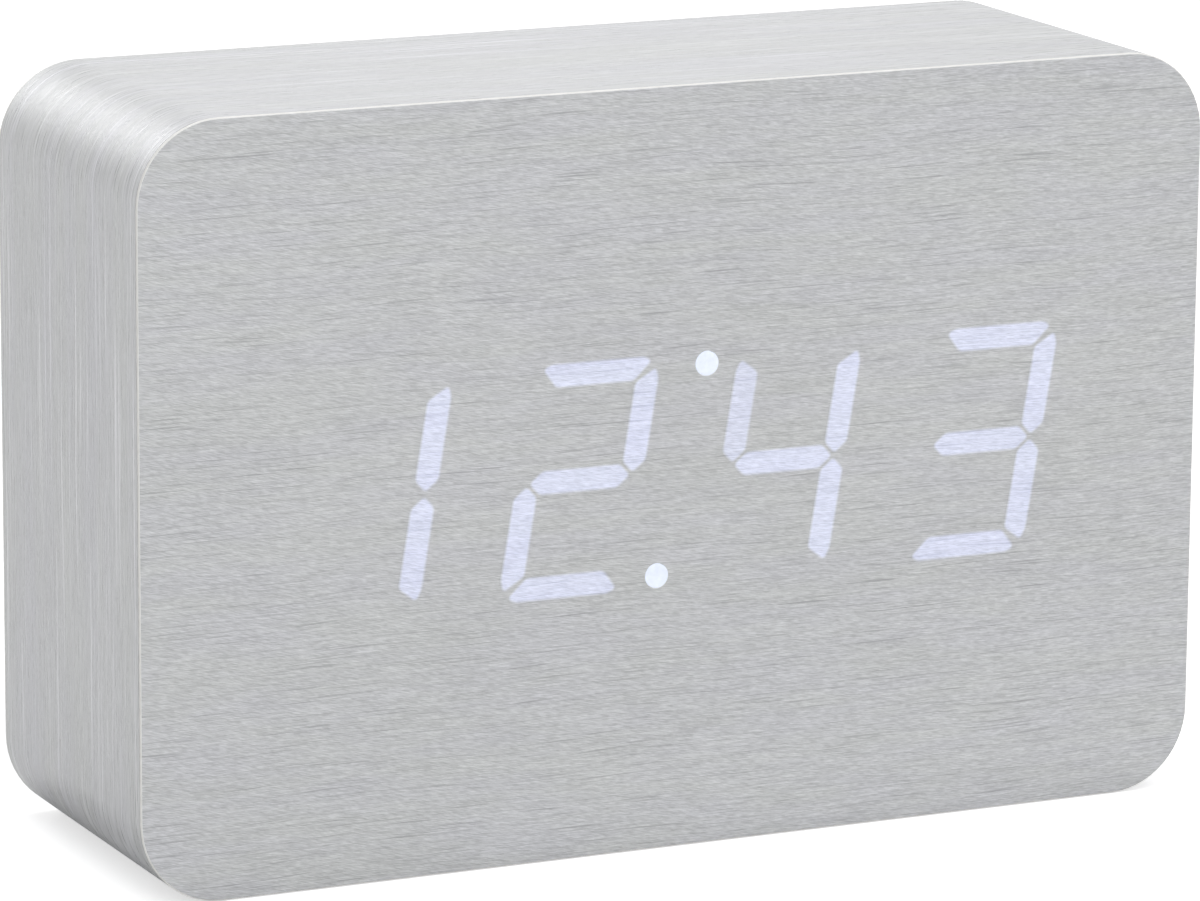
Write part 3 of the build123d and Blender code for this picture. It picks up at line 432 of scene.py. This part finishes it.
sheets = {
    "front": brushedLaminate("brushedFront", across=2, contrast=0.95),
    "side": brushedLaminate("brushedBand", across=1, contrast=1.4, stride=4.0, breadth=1.8, relief=1.4,
                            polish=0.2, score="glint", lean=False),
    "rear": brushedLaminate("brushedRear", across=2, contrast=0.95, lean=False),
    "lit": brushedLaminate("brushedFrontLit", across=2, contrast=0.9, glow=glowLook),
    "edge": trimmedEdgeAndHighlightMaterial(),
}
plain = {name: plainFinish(name) for name in finishes}
plain["solderMask"] = circuitBoardMaterial()
plain["litPin"] = colonMaterial()
print("materials made:", len(plain) + len(sheets))


# Small tools for pieces

meshing = {
    "joined": 0.002,  # corners of a node's triangles nearer than this are one
    "turnedJoined": 0.003,  # and so for shapes turned here
    "flat": 0.4,  # degrees within which neighbouring faces are one
    "smooth": 35,  # degrees below which an edge shades smooth
    "sharp": 40,  # degrees above which an edge is softened
}


def storedMesh(bm, name):
    mesh = bpy.data.meshes.new(name)
    bm.to_mesh(mesh)
    bm.free()
    return mesh


def finishPiece(bm, name, body, materials, smoothAngle=meshing["smooth"]):
    for face in bm.faces:
        face.smooth = True
    for edge in bm.edges:
        edge.smooth = len(edge.link_faces) == 2 and edge.calc_face_angle(0) < math.radians(smoothAngle)
    mesh = storedMesh(bm, name)
    for material in materials:
        mesh.materials.append(material)
    piece = bpy.data.objects.new(name, mesh)
    bpy.context.scene.collection.objects.link(piece)
    evened = piece.modifiers.new("evened", "WEIGHTED_NORMAL")  # flats stay flat beside their soft edges
    evened.keep_sharp = True
    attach(piece, body)
    return piece


def mergedCopy(nodeName):  # the node's triangles joined up and its flat faces made whole
    bm = bmesh.new()
    bm.from_mesh(nodes[nodeName].data)
    bmesh.ops.remove_doubles(bm, verts=bm.verts, dist=meshing["joined"] * mm)
    bmesh.ops.dissolve_limit(bm, angle_limit=math.radians(meshing["flat"]), verts=bm.verts, edges=bm.edges)
    return bm


def bevelEdges(bm, edges, width, segments=2, clamp=False):
    bmesh.ops.bevel(bm, geom=edges, affect="EDGES", offset=width, offset_type="OFFSET", segments=segments,
                    profile=0.5, material=-1, clamp_overlap=clamp)


def softenEdges(bm, width, segments=2, fromAngle=meshing["sharp"]):
    sharp = [edge for edge in bm.edges
             if len(edge.link_faces) == 2 and edge.calc_face_angle(0) > math.radians(fromAngle)]
    bevelEdges(bm, sharp, width, segments, clamp=True)


# Skins and band: the CAD's own shapes. The skins get soft edges and a pale trimmed rim, made near white as
# a painted highlight.

skinLook = {
    "softening": 0.12,
    "segments": 2,
    "angle": 30,  # degrees, for softening and for shading
    "facing": 0.9,  # faces that look this much along Y are brushed, the others are cut and carry the painted edge highlight
}


def dressSkin(nodeName, name, material):
    look = skinLook
    bm = mergedCopy(nodeName)
    softenEdges(bm, look["softening"] * mm, look["segments"], look["angle"])
    for face in bm.faces:
        face.material_index = 0 if abs(face.normal.y) > look["facing"] else 1
    piece = finishPiece(bm, name, "clock", [material, sheets["edge"]], look["angle"])
    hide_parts(nodeName)


dressSkin("front_skin", "frontSkin", sheets["front"])
dressSkin("rear_skin", "rearSkin", sheets["rear"])

band = finishPiece(mergedCopy("side_wrap"), "sideBand", "clock", [sheets["side"]])
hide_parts("side_wrap")
print("skins and band made")


# Digits: where a diffuser shines, the same brushed sheet lies a hair proud and glows

digitLook = {
    "proud": 0.02,
    "sunk": 0.1,
    "spill": 0.35,  # how far the light spreads past the diffuser
    "fade": 0.4,  # from no light to full light
    "rounding": 0.4,
    "segments": 3,
    "facing": 0.9,  # only the faces that look this much forwards are kept
    "dim": {"near": (6, 59), "level": 0.85},  # the lamp near this X and Z is weaker than the others
}


def litDigits():
    look = digitLook
    bm = mergedCopy("lit_segments")
    hidden = [face for face in bm.faces if face.normal.y > -look["facing"]]
    bmesh.ops.delete(bm, geom=hidden, context="FACES")
    bmesh.ops.bevel(bm, geom=bm.verts[:], affect="VERTICES", offset=look["rounding"] * mm,
                    segments=look["segments"], profile=0.5, material=-1)
    glow = bm.verts.layers.float.new(glowLook["attribute"])
    grown = bmesh.ops.inset_individual(bm, faces=bm.faces[:], thickness=-look["spill"] * mm,
                                       use_even_offset=True)
    bmesh.ops.delete(bm, geom=grown["faces"], context="FACES")
    shining = bm.faces[:]
    bmesh.ops.inset_individual(bm, faces=shining, thickness=look["fade"] * mm, use_even_offset=True)
    nearX, nearZ = look["dim"]["near"]

    def fromDimLamp(face):
        middle = face.calc_center_median()
        return math.hypot(middle.x - nearX * mm, middle.z - nearZ * mm)

    weak = min(shining, key=fromDimLamp)
    for face in shining:
        for vertex in face.verts:
            vertex[glow] = look["dim"]["level"] if face is weak else 1.0
    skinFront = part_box("front_skin")[0].y
    backs = bm.verts[:]
    bmesh.ops.extrude_face_region(bm, geom=bm.faces[:], use_keep_orig=True)
    for vertex in bm.verts:
        vertex.co.y = skinFront - look["proud"] * mm
    for vertex in backs:
        vertex.co.y = skinFront + look["sunk"] * mm
    bmesh.ops.recalc_face_normals(bm, faces=bm.faces)
    piece = finishPiece(bm, "litDigits", "clock", [sheets["lit"]])
    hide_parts("lit_segments")


litDigits()
print("digits made")


# Moulded back: soft edges on the parts that show

mouldings = {  # body, slot, finish and width of the soft edge
    "rear_panel": ("clock", "black_moulding", "moulding", 0.15),
    "battery_door": ("battery_door", "black_moulding", "moulding", 0.12),
    "sound_switch_knob": ("sound_switch", "black_moulding", "moulding", 0.1),
    "power_jack": ("clock", "black_component", "blackPart", 0.12),
}


def dressMoulding(nodeName):
    body, slotName, finish, softening = mouldings[nodeName]
    bm = mergedCopy(nodeName)
    softenEdges(bm, softening * mm)
    parts = nodeName.split("_")
    name = parts[0] + "".join(part.capitalize() for part in parts[1:])
    piece = finishPiece(bm, name, body, [plain[finish]])
    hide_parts(nodeName)


for nodeName in mouldings:
    dressMoulding(nodeName)
print("mouldings made")


# Round parts are turned about Z with their foot at 0, then laid where they belong

def lathe(bm, outline, steps=32):  # outline: radius and height, from the foot upwards
    verts = [bm.verts.new((radius * mm, 0, height * mm)) for radius, height in outline]
    edges = [bm.edges.new(pair) for pair in zip(verts, verts[1:])]
    bmesh.ops.spin(bm, geom=verts + edges, axis=(0, 0, 1), cent=(0, 0, 0), angle=math.tau, steps=steps,
                   use_merge=True)


def tidied(bm):
    bmesh.ops.remove_doubles(bm, verts=bm.verts, dist=meshing["turnedJoined"] * mm)
    bmesh.ops.recalc_face_normals(bm, faces=bm.faces)
    return bm


def laid(bm, along, foot):  # turns Z to the given direction and moves the foot to its place
    turn = Vector((0, 0, 1)).rotation_difference(Vector(along)).to_matrix().to_4x4()
    bmesh.ops.transform(bm, matrix=Matrix.Translation(foot) @ turn, verts=bm.verts)
    return bm


def addCopy(bm, mesh, place):
    before = len(bm.verts)
    bm.from_mesh(mesh)
    bm.verts.ensure_lookup_table()
    bmesh.ops.transform(bm, matrix=place, verts=bm.verts[before:])


def boxMiddle(low, high):
    return Vector([(start + end) / 2 for start, end in zip(low, high)])


def rounded(radius, top, fillet, parts=5):  # the rounded shoulder of an outline that ends at a height
    angles = [step * math.pi / 2 / parts for step in range(parts + 1)]
    return [(radius - fillet + fillet * math.cos(angle), top - fillet + fillet * math.sin(angle))
            for angle in angles]


# Buttons: a dished cap with a small raised mark, on a square flange

buttonLook = {
    "radius": 3.0, "fillet": 0.3, "steps": 48,
    "dish": 0.42, "dishRings": 6,
    "flange": 1.0, "flangeBevel": 0.15,
    "overlap": 0.1,  # how far the cap starts in the flange, and the mark in the cap
    "markSize": 1.6, "markHeight": 0.4, "markBevel": 0.1,
    "inked": 0.15,  # the mark is inked from this far under the cap's top
    "marks": {"set": (24, 0.62, 0), "up": (3, 1.0, 180), "down": (3, 1.0, 0)},  # corners, size, turn
}


def capOutline(height):
    look = buttonLook
    sunk = look["flange"] - look["overlap"]
    outline = [(0, sunk), (look["radius"], sunk)] + rounded(look["radius"], height, look["fillet"])
    rim = outline[-1][0]
    for ring in range(1, look["dishRings"] + 1):
        share = 1 - ring / look["dishRings"]
        outline.append((rim * share, height - look["dish"] * (1 - share ** 2)))
    return outline


def addMark(bm, word, height):
    look = buttonLook
    corners, size, turn = look["marks"][word]
    floor = height - look["dish"] - look["overlap"]
    place = Matrix.Translation((0, 0, floor * mm)) @ Matrix.Rotation(math.radians(turn), 4, "Z")
    made = bmesh.ops.create_circle(bm, cap_ends=True, segments=corners,
                                   radius=size * look["markSize"] * mm, matrix=place)
    mark = list({face for vertex in made["verts"] for face in vertex.link_faces})
    raised = bmesh.ops.extrude_face_region(bm, geom=mark)["geom"]
    tops = [item for item in raised if isinstance(item, bmesh.types.BMVert)]
    bmesh.ops.translate(bm, verts=tops, vec=(0, 0, (look["markHeight"] + look["overlap"]) * mm))
    rims = [edge for edge in bm.edges if all(vertex in tops for vertex in edge.verts)]
    bevelEdges(bm, rims, look["markBevel"] * mm)
    for face in bm.faces:
        middle = face.calc_center_median() / mm
        inked = middle.z > height - look["inked"] and middle.xy.length < look["markSize"]
        face.material_index = 1 if inked else 0


def addFlange(bm, side):
    look = buttonLook
    thickness = look["flange"] * mm
    size = Matrix.Diagonal((side, side, thickness, 1))
    base = bmesh.ops.create_cube(bm, size=1.0, matrix=Matrix.Translation((0, 0, thickness / 2)) @ size)
    block = list({edge for vertex in base["verts"] for edge in vertex.link_edges})
    bevelEdges(bm, block, look["flangeBevel"] * mm)


def makeButton(word):
    low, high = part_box(f"{word}_button")
    height = (high.y - low.y) / mm
    bm = bmesh.new()
    lathe(bm, capOutline(height), buttonLook["steps"])
    addMark(bm, word, height)
    addFlange(bm, high.x - low.x)
    middle = boxMiddle(low, high)
    laid(tidied(bm), (0, 1, 0), (middle.x, low.y, middle.z))
    looks = [plain["buttonRubber"], plain["markInk"]]
    piece = finishPiece(bm, f"{word}Button", f"{word}_button", looks)
    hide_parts(f"{word}_button")


for word in buttonLook["marks"]:
    makeButton(word)
print("buttons made")


# Panel screws: pan heads with a cross recess, on plain shanks

screwLook = {
    "head": 2.3, "headHeight": 1.1, "crown": 1.25, "shank": 1.2, "steps": 36,
    "tip": ((0, 0), (0.55, 0.6), (1, 2.4)),  # share of the shank's radius, height over its end
    "dome": ((1, 0), (1, 0.3), (0.96, 0.58), (0.84, 0.85), (0.68, 1.02)),  # the same for the head
    "crossReach": 1.02, "crossHalf": 0.25, "crossDepth": 0.75, "crossTaper": 0.72,
    "firstTurn": 20, "turnStep": 37,  # degrees, so that no two crosses stand alike
}


def cutCross(bm, top):  # joins the crown's open rim to a cross and sinks the cross
    look = screwLook
    rim = [edge for edge in bm.edges if edge.is_boundary]
    reach, half = look["crossReach"], look["crossHalf"]
    arm = [(reach, -half), (reach, half), (half, half)]
    mouth = []
    for turn in range(4):
        across = Matrix.Rotation(turn * math.pi / 2, 3, "Z")
        mouth += [bm.verts.new(across @ Vector((x * mm, y * mm, top * mm))) for x, y in arm]
    loop = [bm.edges.new(pair) for pair in zip(mouth, mouth[1:] + mouth[:1])]
    bmesh.ops.bridge_loops(bm, edges=rim + loop)
    sunk = bmesh.ops.extrude_edge_only(bm, edges=loop)["geom"]
    floor = [item for item in sunk if isinstance(item, bmesh.types.BMVert)]
    for vertex in floor:
        vertex.co.x *= look["crossTaper"]
        vertex.co.y *= look["crossTaper"]
        vertex.co.z -= look["crossDepth"] * mm
    floorRim = [item for item in sunk
                if isinstance(item, bmesh.types.BMEdge) and all(vertex in floor for vertex in item.verts)]
    bmesh.ops.contextual_create(bm, geom=floorRim)


def makeScrews():
    look = screwLook
    low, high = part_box("panel_screws")
    top, shank, head = look["headHeight"], look["shank"], look["head"]
    depth = (high.y - low.y) / mm - top
    outline = [(share * shank, rise - depth) for share, rise in look["tip"]] + [(shank, 0)]
    outline += [(share * head, rise) for share, rise in look["dome"]] + [(look["crown"], top)]
    bm = bmesh.new()
    lathe(bm, outline, look["steps"])
    cutCross(tidied(bm), top)
    bmesh.ops.recalc_face_normals(bm, faces=bm.faces)
    screw = storedMesh(laid(bm, (0, 1, 0), (0, 0, 0)), "screw")
    bm = bmesh.new()
    inset = head * mm
    places = [(x, z) for z in (low.z + inset, high.z - inset) for x in (low.x + inset, high.x - inset)]
    for number, (x, z) in enumerate(places):
        turn = math.radians(look["firstTurn"] + look["turnStep"] * number)
        place = Matrix.Translation((x, high.y - top * mm, z)) @ Matrix.Rotation(turn, 4, "Y")
        addCopy(bm, screw, place)
    piece = finishPiece(bm, "panelScrews", "clock", [plain["blackZinc"]])
    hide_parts("panel_screws")


makeScrews()
print("screws made")


# Cells: a foil sleeve with a silver band, rolled over at both ends, and the steel of the poles

cellLook = {
    "count": 4, "radius": 5.25, "nub": 1.9, "nubHeight": 1.2, "bandEnd": 13.0, "steps": 48,
    # share of the nub's radius and height over its tip, then over its foot
    "nubShape": ((0, 0.06), (0.8, 0.04), (0.95, 0.12), (1, 0.35)),
    "flare": (1.08, 0.14),
    # share of the cell's radius, and height over the nub's foot or depth under the flat end
    "shoulder": ((0.76, 0.16), (0.8, 0.02), (0.92, 0.04), (0.98, 0.2), (1, 0.55)),
    "end": ((1, 0.5), (0.975, 0.16), (0.92, 0), (0.82, 0), (0.79, 0.15), (0.6, 0.18), (0, 0.14)),
    "bareShare": 0.79,  # steel shows inside this share of the radius
}


def cellOutline(length):
    look = cellLook
    radius, nub, step = look["radius"], look["nub"], look["nubHeight"]
    flareShare, flareRise = look["flare"]
    outline = [(share * nub, rise) for share, rise in look["nubShape"]]
    outline += [(nub, step), (flareShare * nub, step + flareRise)]
    outline += [(share * radius, step + rise) for share, rise in look["shoulder"]]
    outline += [(radius, look["bandEnd"])]
    return outline + [(share * radius, length - drop) for share, drop in look["end"]]


def makeCell(number):
    look = cellLook
    low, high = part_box(f"cell_{number}")
    bm = bmesh.new()
    lathe(bm, cellOutline((high.x - low.x) / mm), look["steps"])
    for face in bm.faces:
        middle = face.calc_center_median() / mm
        bare = middle.xy.length < look["radius"] * look["bareShare"]
        face.material_index = 2 if bare else 1 if middle.z < look["bandEnd"] else 0
    heading = 1 if number % 2 else -1
    tip = low.x if heading > 0 else high.x
    middle = boxMiddle(low, high)
    laid(tidied(bm), (heading, 0, 0), (tip, middle.y, middle.z))
    sleeve = [plain["cellSleeve"], plain["cellBand"], plain["bareSteel"]]
    piece = finishPiece(bm, f"cell{number}", "clock", sleeve)
    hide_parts(f"cell_{number}")


cellNumbers = range(1, cellLook["count"] + 1)
for number in cellNumbers:
    makeCell(number)
print("cells made")


# Contact springs: round wire in a cone, wide at the plate and narrow at the cell

springLook = {"wide": 3.4, "narrow": 2.1, "wire": 0.25, "turns": 3, "steps": 40, "sides": 10, "length": 4.1}


def coilMesh():
    look = springLook
    wide, wire = look["wide"], look["wire"]
    climb = look["length"] - 2 * wire
    bm = bmesh.new()
    start = Matrix.Translation((wide * mm, 0, wire * mm)) @ Matrix.Rotation(math.pi / 2, 4, "X")
    ring = bmesh.ops.create_circle(bm, cap_ends=False, segments=look["sides"], radius=wire * mm,
                                   matrix=start)
    edges = list({edge for vertex in ring["verts"] for edge in vertex.link_edges})
    total = look["turns"] * look["steps"]
    bmesh.ops.spin(bm, geom=ring["verts"] + edges, axis=(0, 0, 1), cent=(0, 0, 0),
                   dvec=(0, 0, climb / total * mm), angle=look["turns"] * math.tau, steps=total,
                   use_merge=False)
    bmesh.ops.holes_fill(bm, edges=[edge for edge in bm.edges if edge.is_boundary], sides=0)
    for vertex in bm.verts:
        out = math.hypot(vertex.co.x, vertex.co.y)
        share = min(max((vertex.co.z / mm - wire) / climb, 0), 1)
        drawnIn = (out - (wide - look["narrow"]) * share * mm) / out
        vertex.co.x *= drawnIn
        vertex.co.y *= drawnIn
    return storedMesh(tidied(bm), "coil")


def makeSprings():
    low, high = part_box("contact_springs")
    coil = coilMesh()
    bm = bmesh.new()
    for number in cellNumbers:
        middle = boxMiddle(*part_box(f"cell_{number}"))
        fromRight = number % 2 == 1
        foot = Vector((high.x if fromRight else low.x, middle.y, middle.z))
        turn = Matrix.Rotation(math.radians(-90 if fromRight else 90), 4, "Y")
        addCopy(bm, coil, Matrix.Translation(foot) @ turn)
    piece = finishPiece(bm, "contactSprings", "clock", [plain["nickel"]])
    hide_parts("contact_springs")


makeSprings()
print("springs made")


# Jack pin: a rounded tip

pinLook = {"tipShare": 0.8}  # the tip's rounding as a share of the pin's radius


def makePin():
    low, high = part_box("jack_pin")
    radius = (high.x - low.x) / 2 / mm
    length = (high.y - low.y) / mm
    bm = bmesh.new()
    lathe(bm, [(0, 0), (radius, 0)] + rounded(radius, length, radius * pinLook["tipShare"]) + [(0, length)])
    middle = boxMiddle(low, high)
    laid(tidied(bm), (0, 1, 0), (middle.x, low.y, middle.z))
    piece = finishPiece(bm, "jackPin", "clock", [plain["pinBrass"]])
    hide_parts("jack_pin")


makePin()
print("jack pin made")


# Every node takes a finish too, the ones that keep their own shape and the replaced ones

nodeFinishes = {
    "case_block": "fibreboard", "segment_reflector": "whiteReflector", "unlit_segments": "milkyDiffuser",
    "lit_segments": "milkyDiffuser", "colon_lenses": "litPin", "led_chips": "lampBody",
    "display_board": "solderMask", "control_board": "solderMask", "display_screws": "blackZinc",
    "control_screws": "blackZinc", "panel_screws": "blackZinc", "display_driver": "chipBlack",
    "controller_chip": "chipBlack", "end_contacts": "nickel", "bridge_contacts": "nickel",
    "contact_springs": "nickel", "crystal": "drawnCan", "buzzer": "blackPart", "capacitor": "blackPart",
    "display_socket": "socketNylon", "control_socket": "socketNylon", "ribbon_cable": "ribbonGray",
    "battery_leads": "leadRed", "sound_switch_case": "drawnCan", "jack_pin": "pinBrass",
    "microphone": "drawnCan", "temperature_sensor": "sensorBead", "front_skin": "fibreboard",
    "side_wrap": "fibreboard", "rear_skin": "fibreboard", "rear_panel": "moulding",
    "battery_door": "moulding", "sound_switch_knob": "moulding", "power_jack": "blackPart",
}
for number in cellNumbers:
    nodeFinishes[f"cell_{number}"] = "cellSleeve"
for word in buttonLook["marks"]:
    nodeFinishes[f"{word}_button"] = "buttonRubber"
    nodeFinishes[f"{word}_plunger"] = "blackPart"
    nodeFinishes[f"{word}_switch"] = "drawnCan"
for nodeName, finish in nodeFinishes.items():
    slots = nodes[nodeName].data.materials
    slots.clear()
    slots.append(plain[finish])
print("nodes finished:", len(nodeFinishes))


# Floor, lights and camera, in metres

stageLook = {
    "half": 30.0,
    "gap": 0.1 * mm,  # the paper lies a hair under the clock, so the two faces don't flicker
    "paper": srgb(224, 224, 224),
    "near": (0.8, 0.62),  # distance from the clock, and how much the paper is helped towards white there
    "far": (3.0, 0.8),
    "beside": (20 * mm, 8 * mm),  # how far round the clock its polish doesn't mirror that help
}


def besideClock(tree, place):  # 0 under the clock, rising to 1 at those distances from its sides
    high = packedBox[1]
    sideways, forwards = stageLook["beside"]
    steps = (
        ("ABSOLUTE", None),
        ("SUBTRACT", (high[0], high[1], 0)),
        ("MAXIMUM", (0, 0, 0)),
        ("MULTIPLY", (1 / sideways, 1 / forwards, 0)),
    )
    vector = place
    for operation, values in steps:
        node = addNode(tree, "ShaderNodeVectorMath", operation=operation)
        tree.links.new(vector, node.inputs[0])
        if values:
            node.inputs[1].default_value = values
        vector = node.outputs[0]
    away = addNode(tree, "ShaderNodeVectorMath", operation="LENGTH")
    tree.links.new(vector, away.inputs[0])
    return stretch(tree, away.outputs["Value"], 0.0, 1.0)


def seenRays(tree, mirrorShare=1.0):  # 1 for rays that show the background, also mirrored or through glass
    path = addNode(tree, "ShaderNodeLightPath")
    mirrored = math2(tree, "MULTIPLY", path.outputs["Is Glossy Ray"], mirrorShare)
    through = math2(tree, "MAXIMUM", mirrored, path.outputs["Is Transmission Ray"])
    return math2(tree, "MAXIMUM", path.outputs["Is Camera Ray"], through)


def makeFloor():
    bm = bmesh.new()
    bmesh.ops.create_grid(bm, x_segments=1, y_segments=1, size=stageLook["half"],
                          matrix=Matrix.Translation((0, 0, -stageLook["gap"])))
    mesh = storedMesh(bm, "floor")
    material = bpy.data.materials.new("whitePaper")
    material.use_nodes = True
    tree = material.node_tree
    tree.nodes.clear()
    place = addNode(tree, "ShaderNodeTexCoord").outputs["Object"]
    seen = seenRays(tree, besideClock(tree, place))
    paper = addNode(tree, "ShaderNodeBsdfDiffuse")
    paper.inputs["Color"].default_value = stageLook["paper"]
    glow = addNode(tree, "ShaderNodeEmission")
    distance = addNode(tree, "ShaderNodeVectorMath", operation="LENGTH")
    tree.links.new(place, distance.inputs[0])
    (near, nearGlow), (far, farGlow) = stageLook["near"], stageLook["far"]
    level = stretch(tree, distance.outputs["Value"], near, far, nearGlow, farGlow)
    tree.links.new(math2(tree, "MULTIPLY", seen, level), glow.inputs["Strength"])
    both = addNode(tree, "ShaderNodeAddShader")
    output = addNode(tree, "ShaderNodeOutputMaterial")
    tree.links.new(paper.outputs[0], both.inputs[0])
    tree.links.new(glow.outputs[0], both.inputs[1])
    tree.links.new(both.outputs[0], output.inputs["Surface"])
    mesh.materials.append(material)
    floor = bpy.data.objects.new("floor", mesh)
    bpy.context.scene.collection.objects.link(floor)


airLook = {"seen": 1.0, "unseen": 0.31}  # how bright the air is behind the clock, and as a light on it


def makeAir():
    world = bpy.data.worlds.new("softRoom")
    bpy.context.scene.world = world
    world.use_nodes = True
    tree = world.node_tree
    background = tree.nodes["Background"]
    background.inputs["Color"].default_value = (1, 1, 1, 1)
    level = stretch(tree, seenRays(tree), 0.0, 1.0, airLook["unseen"], airLook["seen"])
    tree.links.new(level, background.inputs["Strength"])


lamps = {  # place, point it looks at, width, height, watts, colour
    "overhead": ((0.1, -0.35, 1.7), (0, 0, 0.05), 2.2, 2.0, 23.0, (0.975, 0.98, 1.0)),
    "backSoftbox": ((-0.35, 1.1, 0.62), (0, 0, 0.06), 0.7, 0.5, 2.7, (1.0, 1.0, 1.0)),
    "frontFill": ((0.4, -2.8, 0.85), (0, 0, 0.05), 3.0, 1.7, 21.0, (1.0, 1.0, 1.0)),
    "backFill": ((0, 2.8, 0.95), (0, 0, 0.05), 3.2, 1.7, 6.0, (1.0, 1.0, 1.0)),
    "farSideFill": ((2.0, 0.6, 0.7), (0, 0, 0.05), 1.0, 1.0, 2.2, (1.0, 1.0, 1.0)),
}


def makeLamp(name):
    place, target, width, height, watts, color = lamps[name]
    light = bpy.data.lights.new(name, "AREA")
    light.shape = "RECTANGLE"
    light.size = width
    light.size_y = height
    light.energy = watts
    light.color = color
    lamp = bpy.data.objects.new(name, light)
    bpy.context.scene.collection.objects.link(lamp)
    lamp.location = place
    lamp.rotation_euler = (Vector(target) - Vector(place)).to_track_quat("-Z", "Y").to_euler()


viewpoint = {  # as in the photograph: from the front, to the left and a little above
    "place": (-0.37751, -0.80307, 0.24434),
    "turn": (77.492, -0.386, -25.061),  # degrees about X, Y and Z
    "lens": 207.42,
    "sensor": 36.0,
    "clip": (0.01, 50),
}


def makeCamera():
    lens = bpy.data.cameras.new("photoView")
    lens.lens = viewpoint["lens"]
    lens.sensor_width = viewpoint["sensor"]
    lens.clip_start, lens.clip_end = viewpoint["clip"]
    camera = bpy.data.objects.new("photoView", lens)
    bpy.context.scene.collection.objects.link(camera)
    camera.location = viewpoint["place"]
    camera.rotation_euler = [math.radians(angle) for angle in viewpoint["turn"]]
    bpy.context.scene.camera = camera


makeFloor()
makeAir()
for name in lamps:
    makeLamp(name)
makeCamera()
bpy.context.scene.view_settings.view_transform = "Standard"
print("floor, lights and camera made")
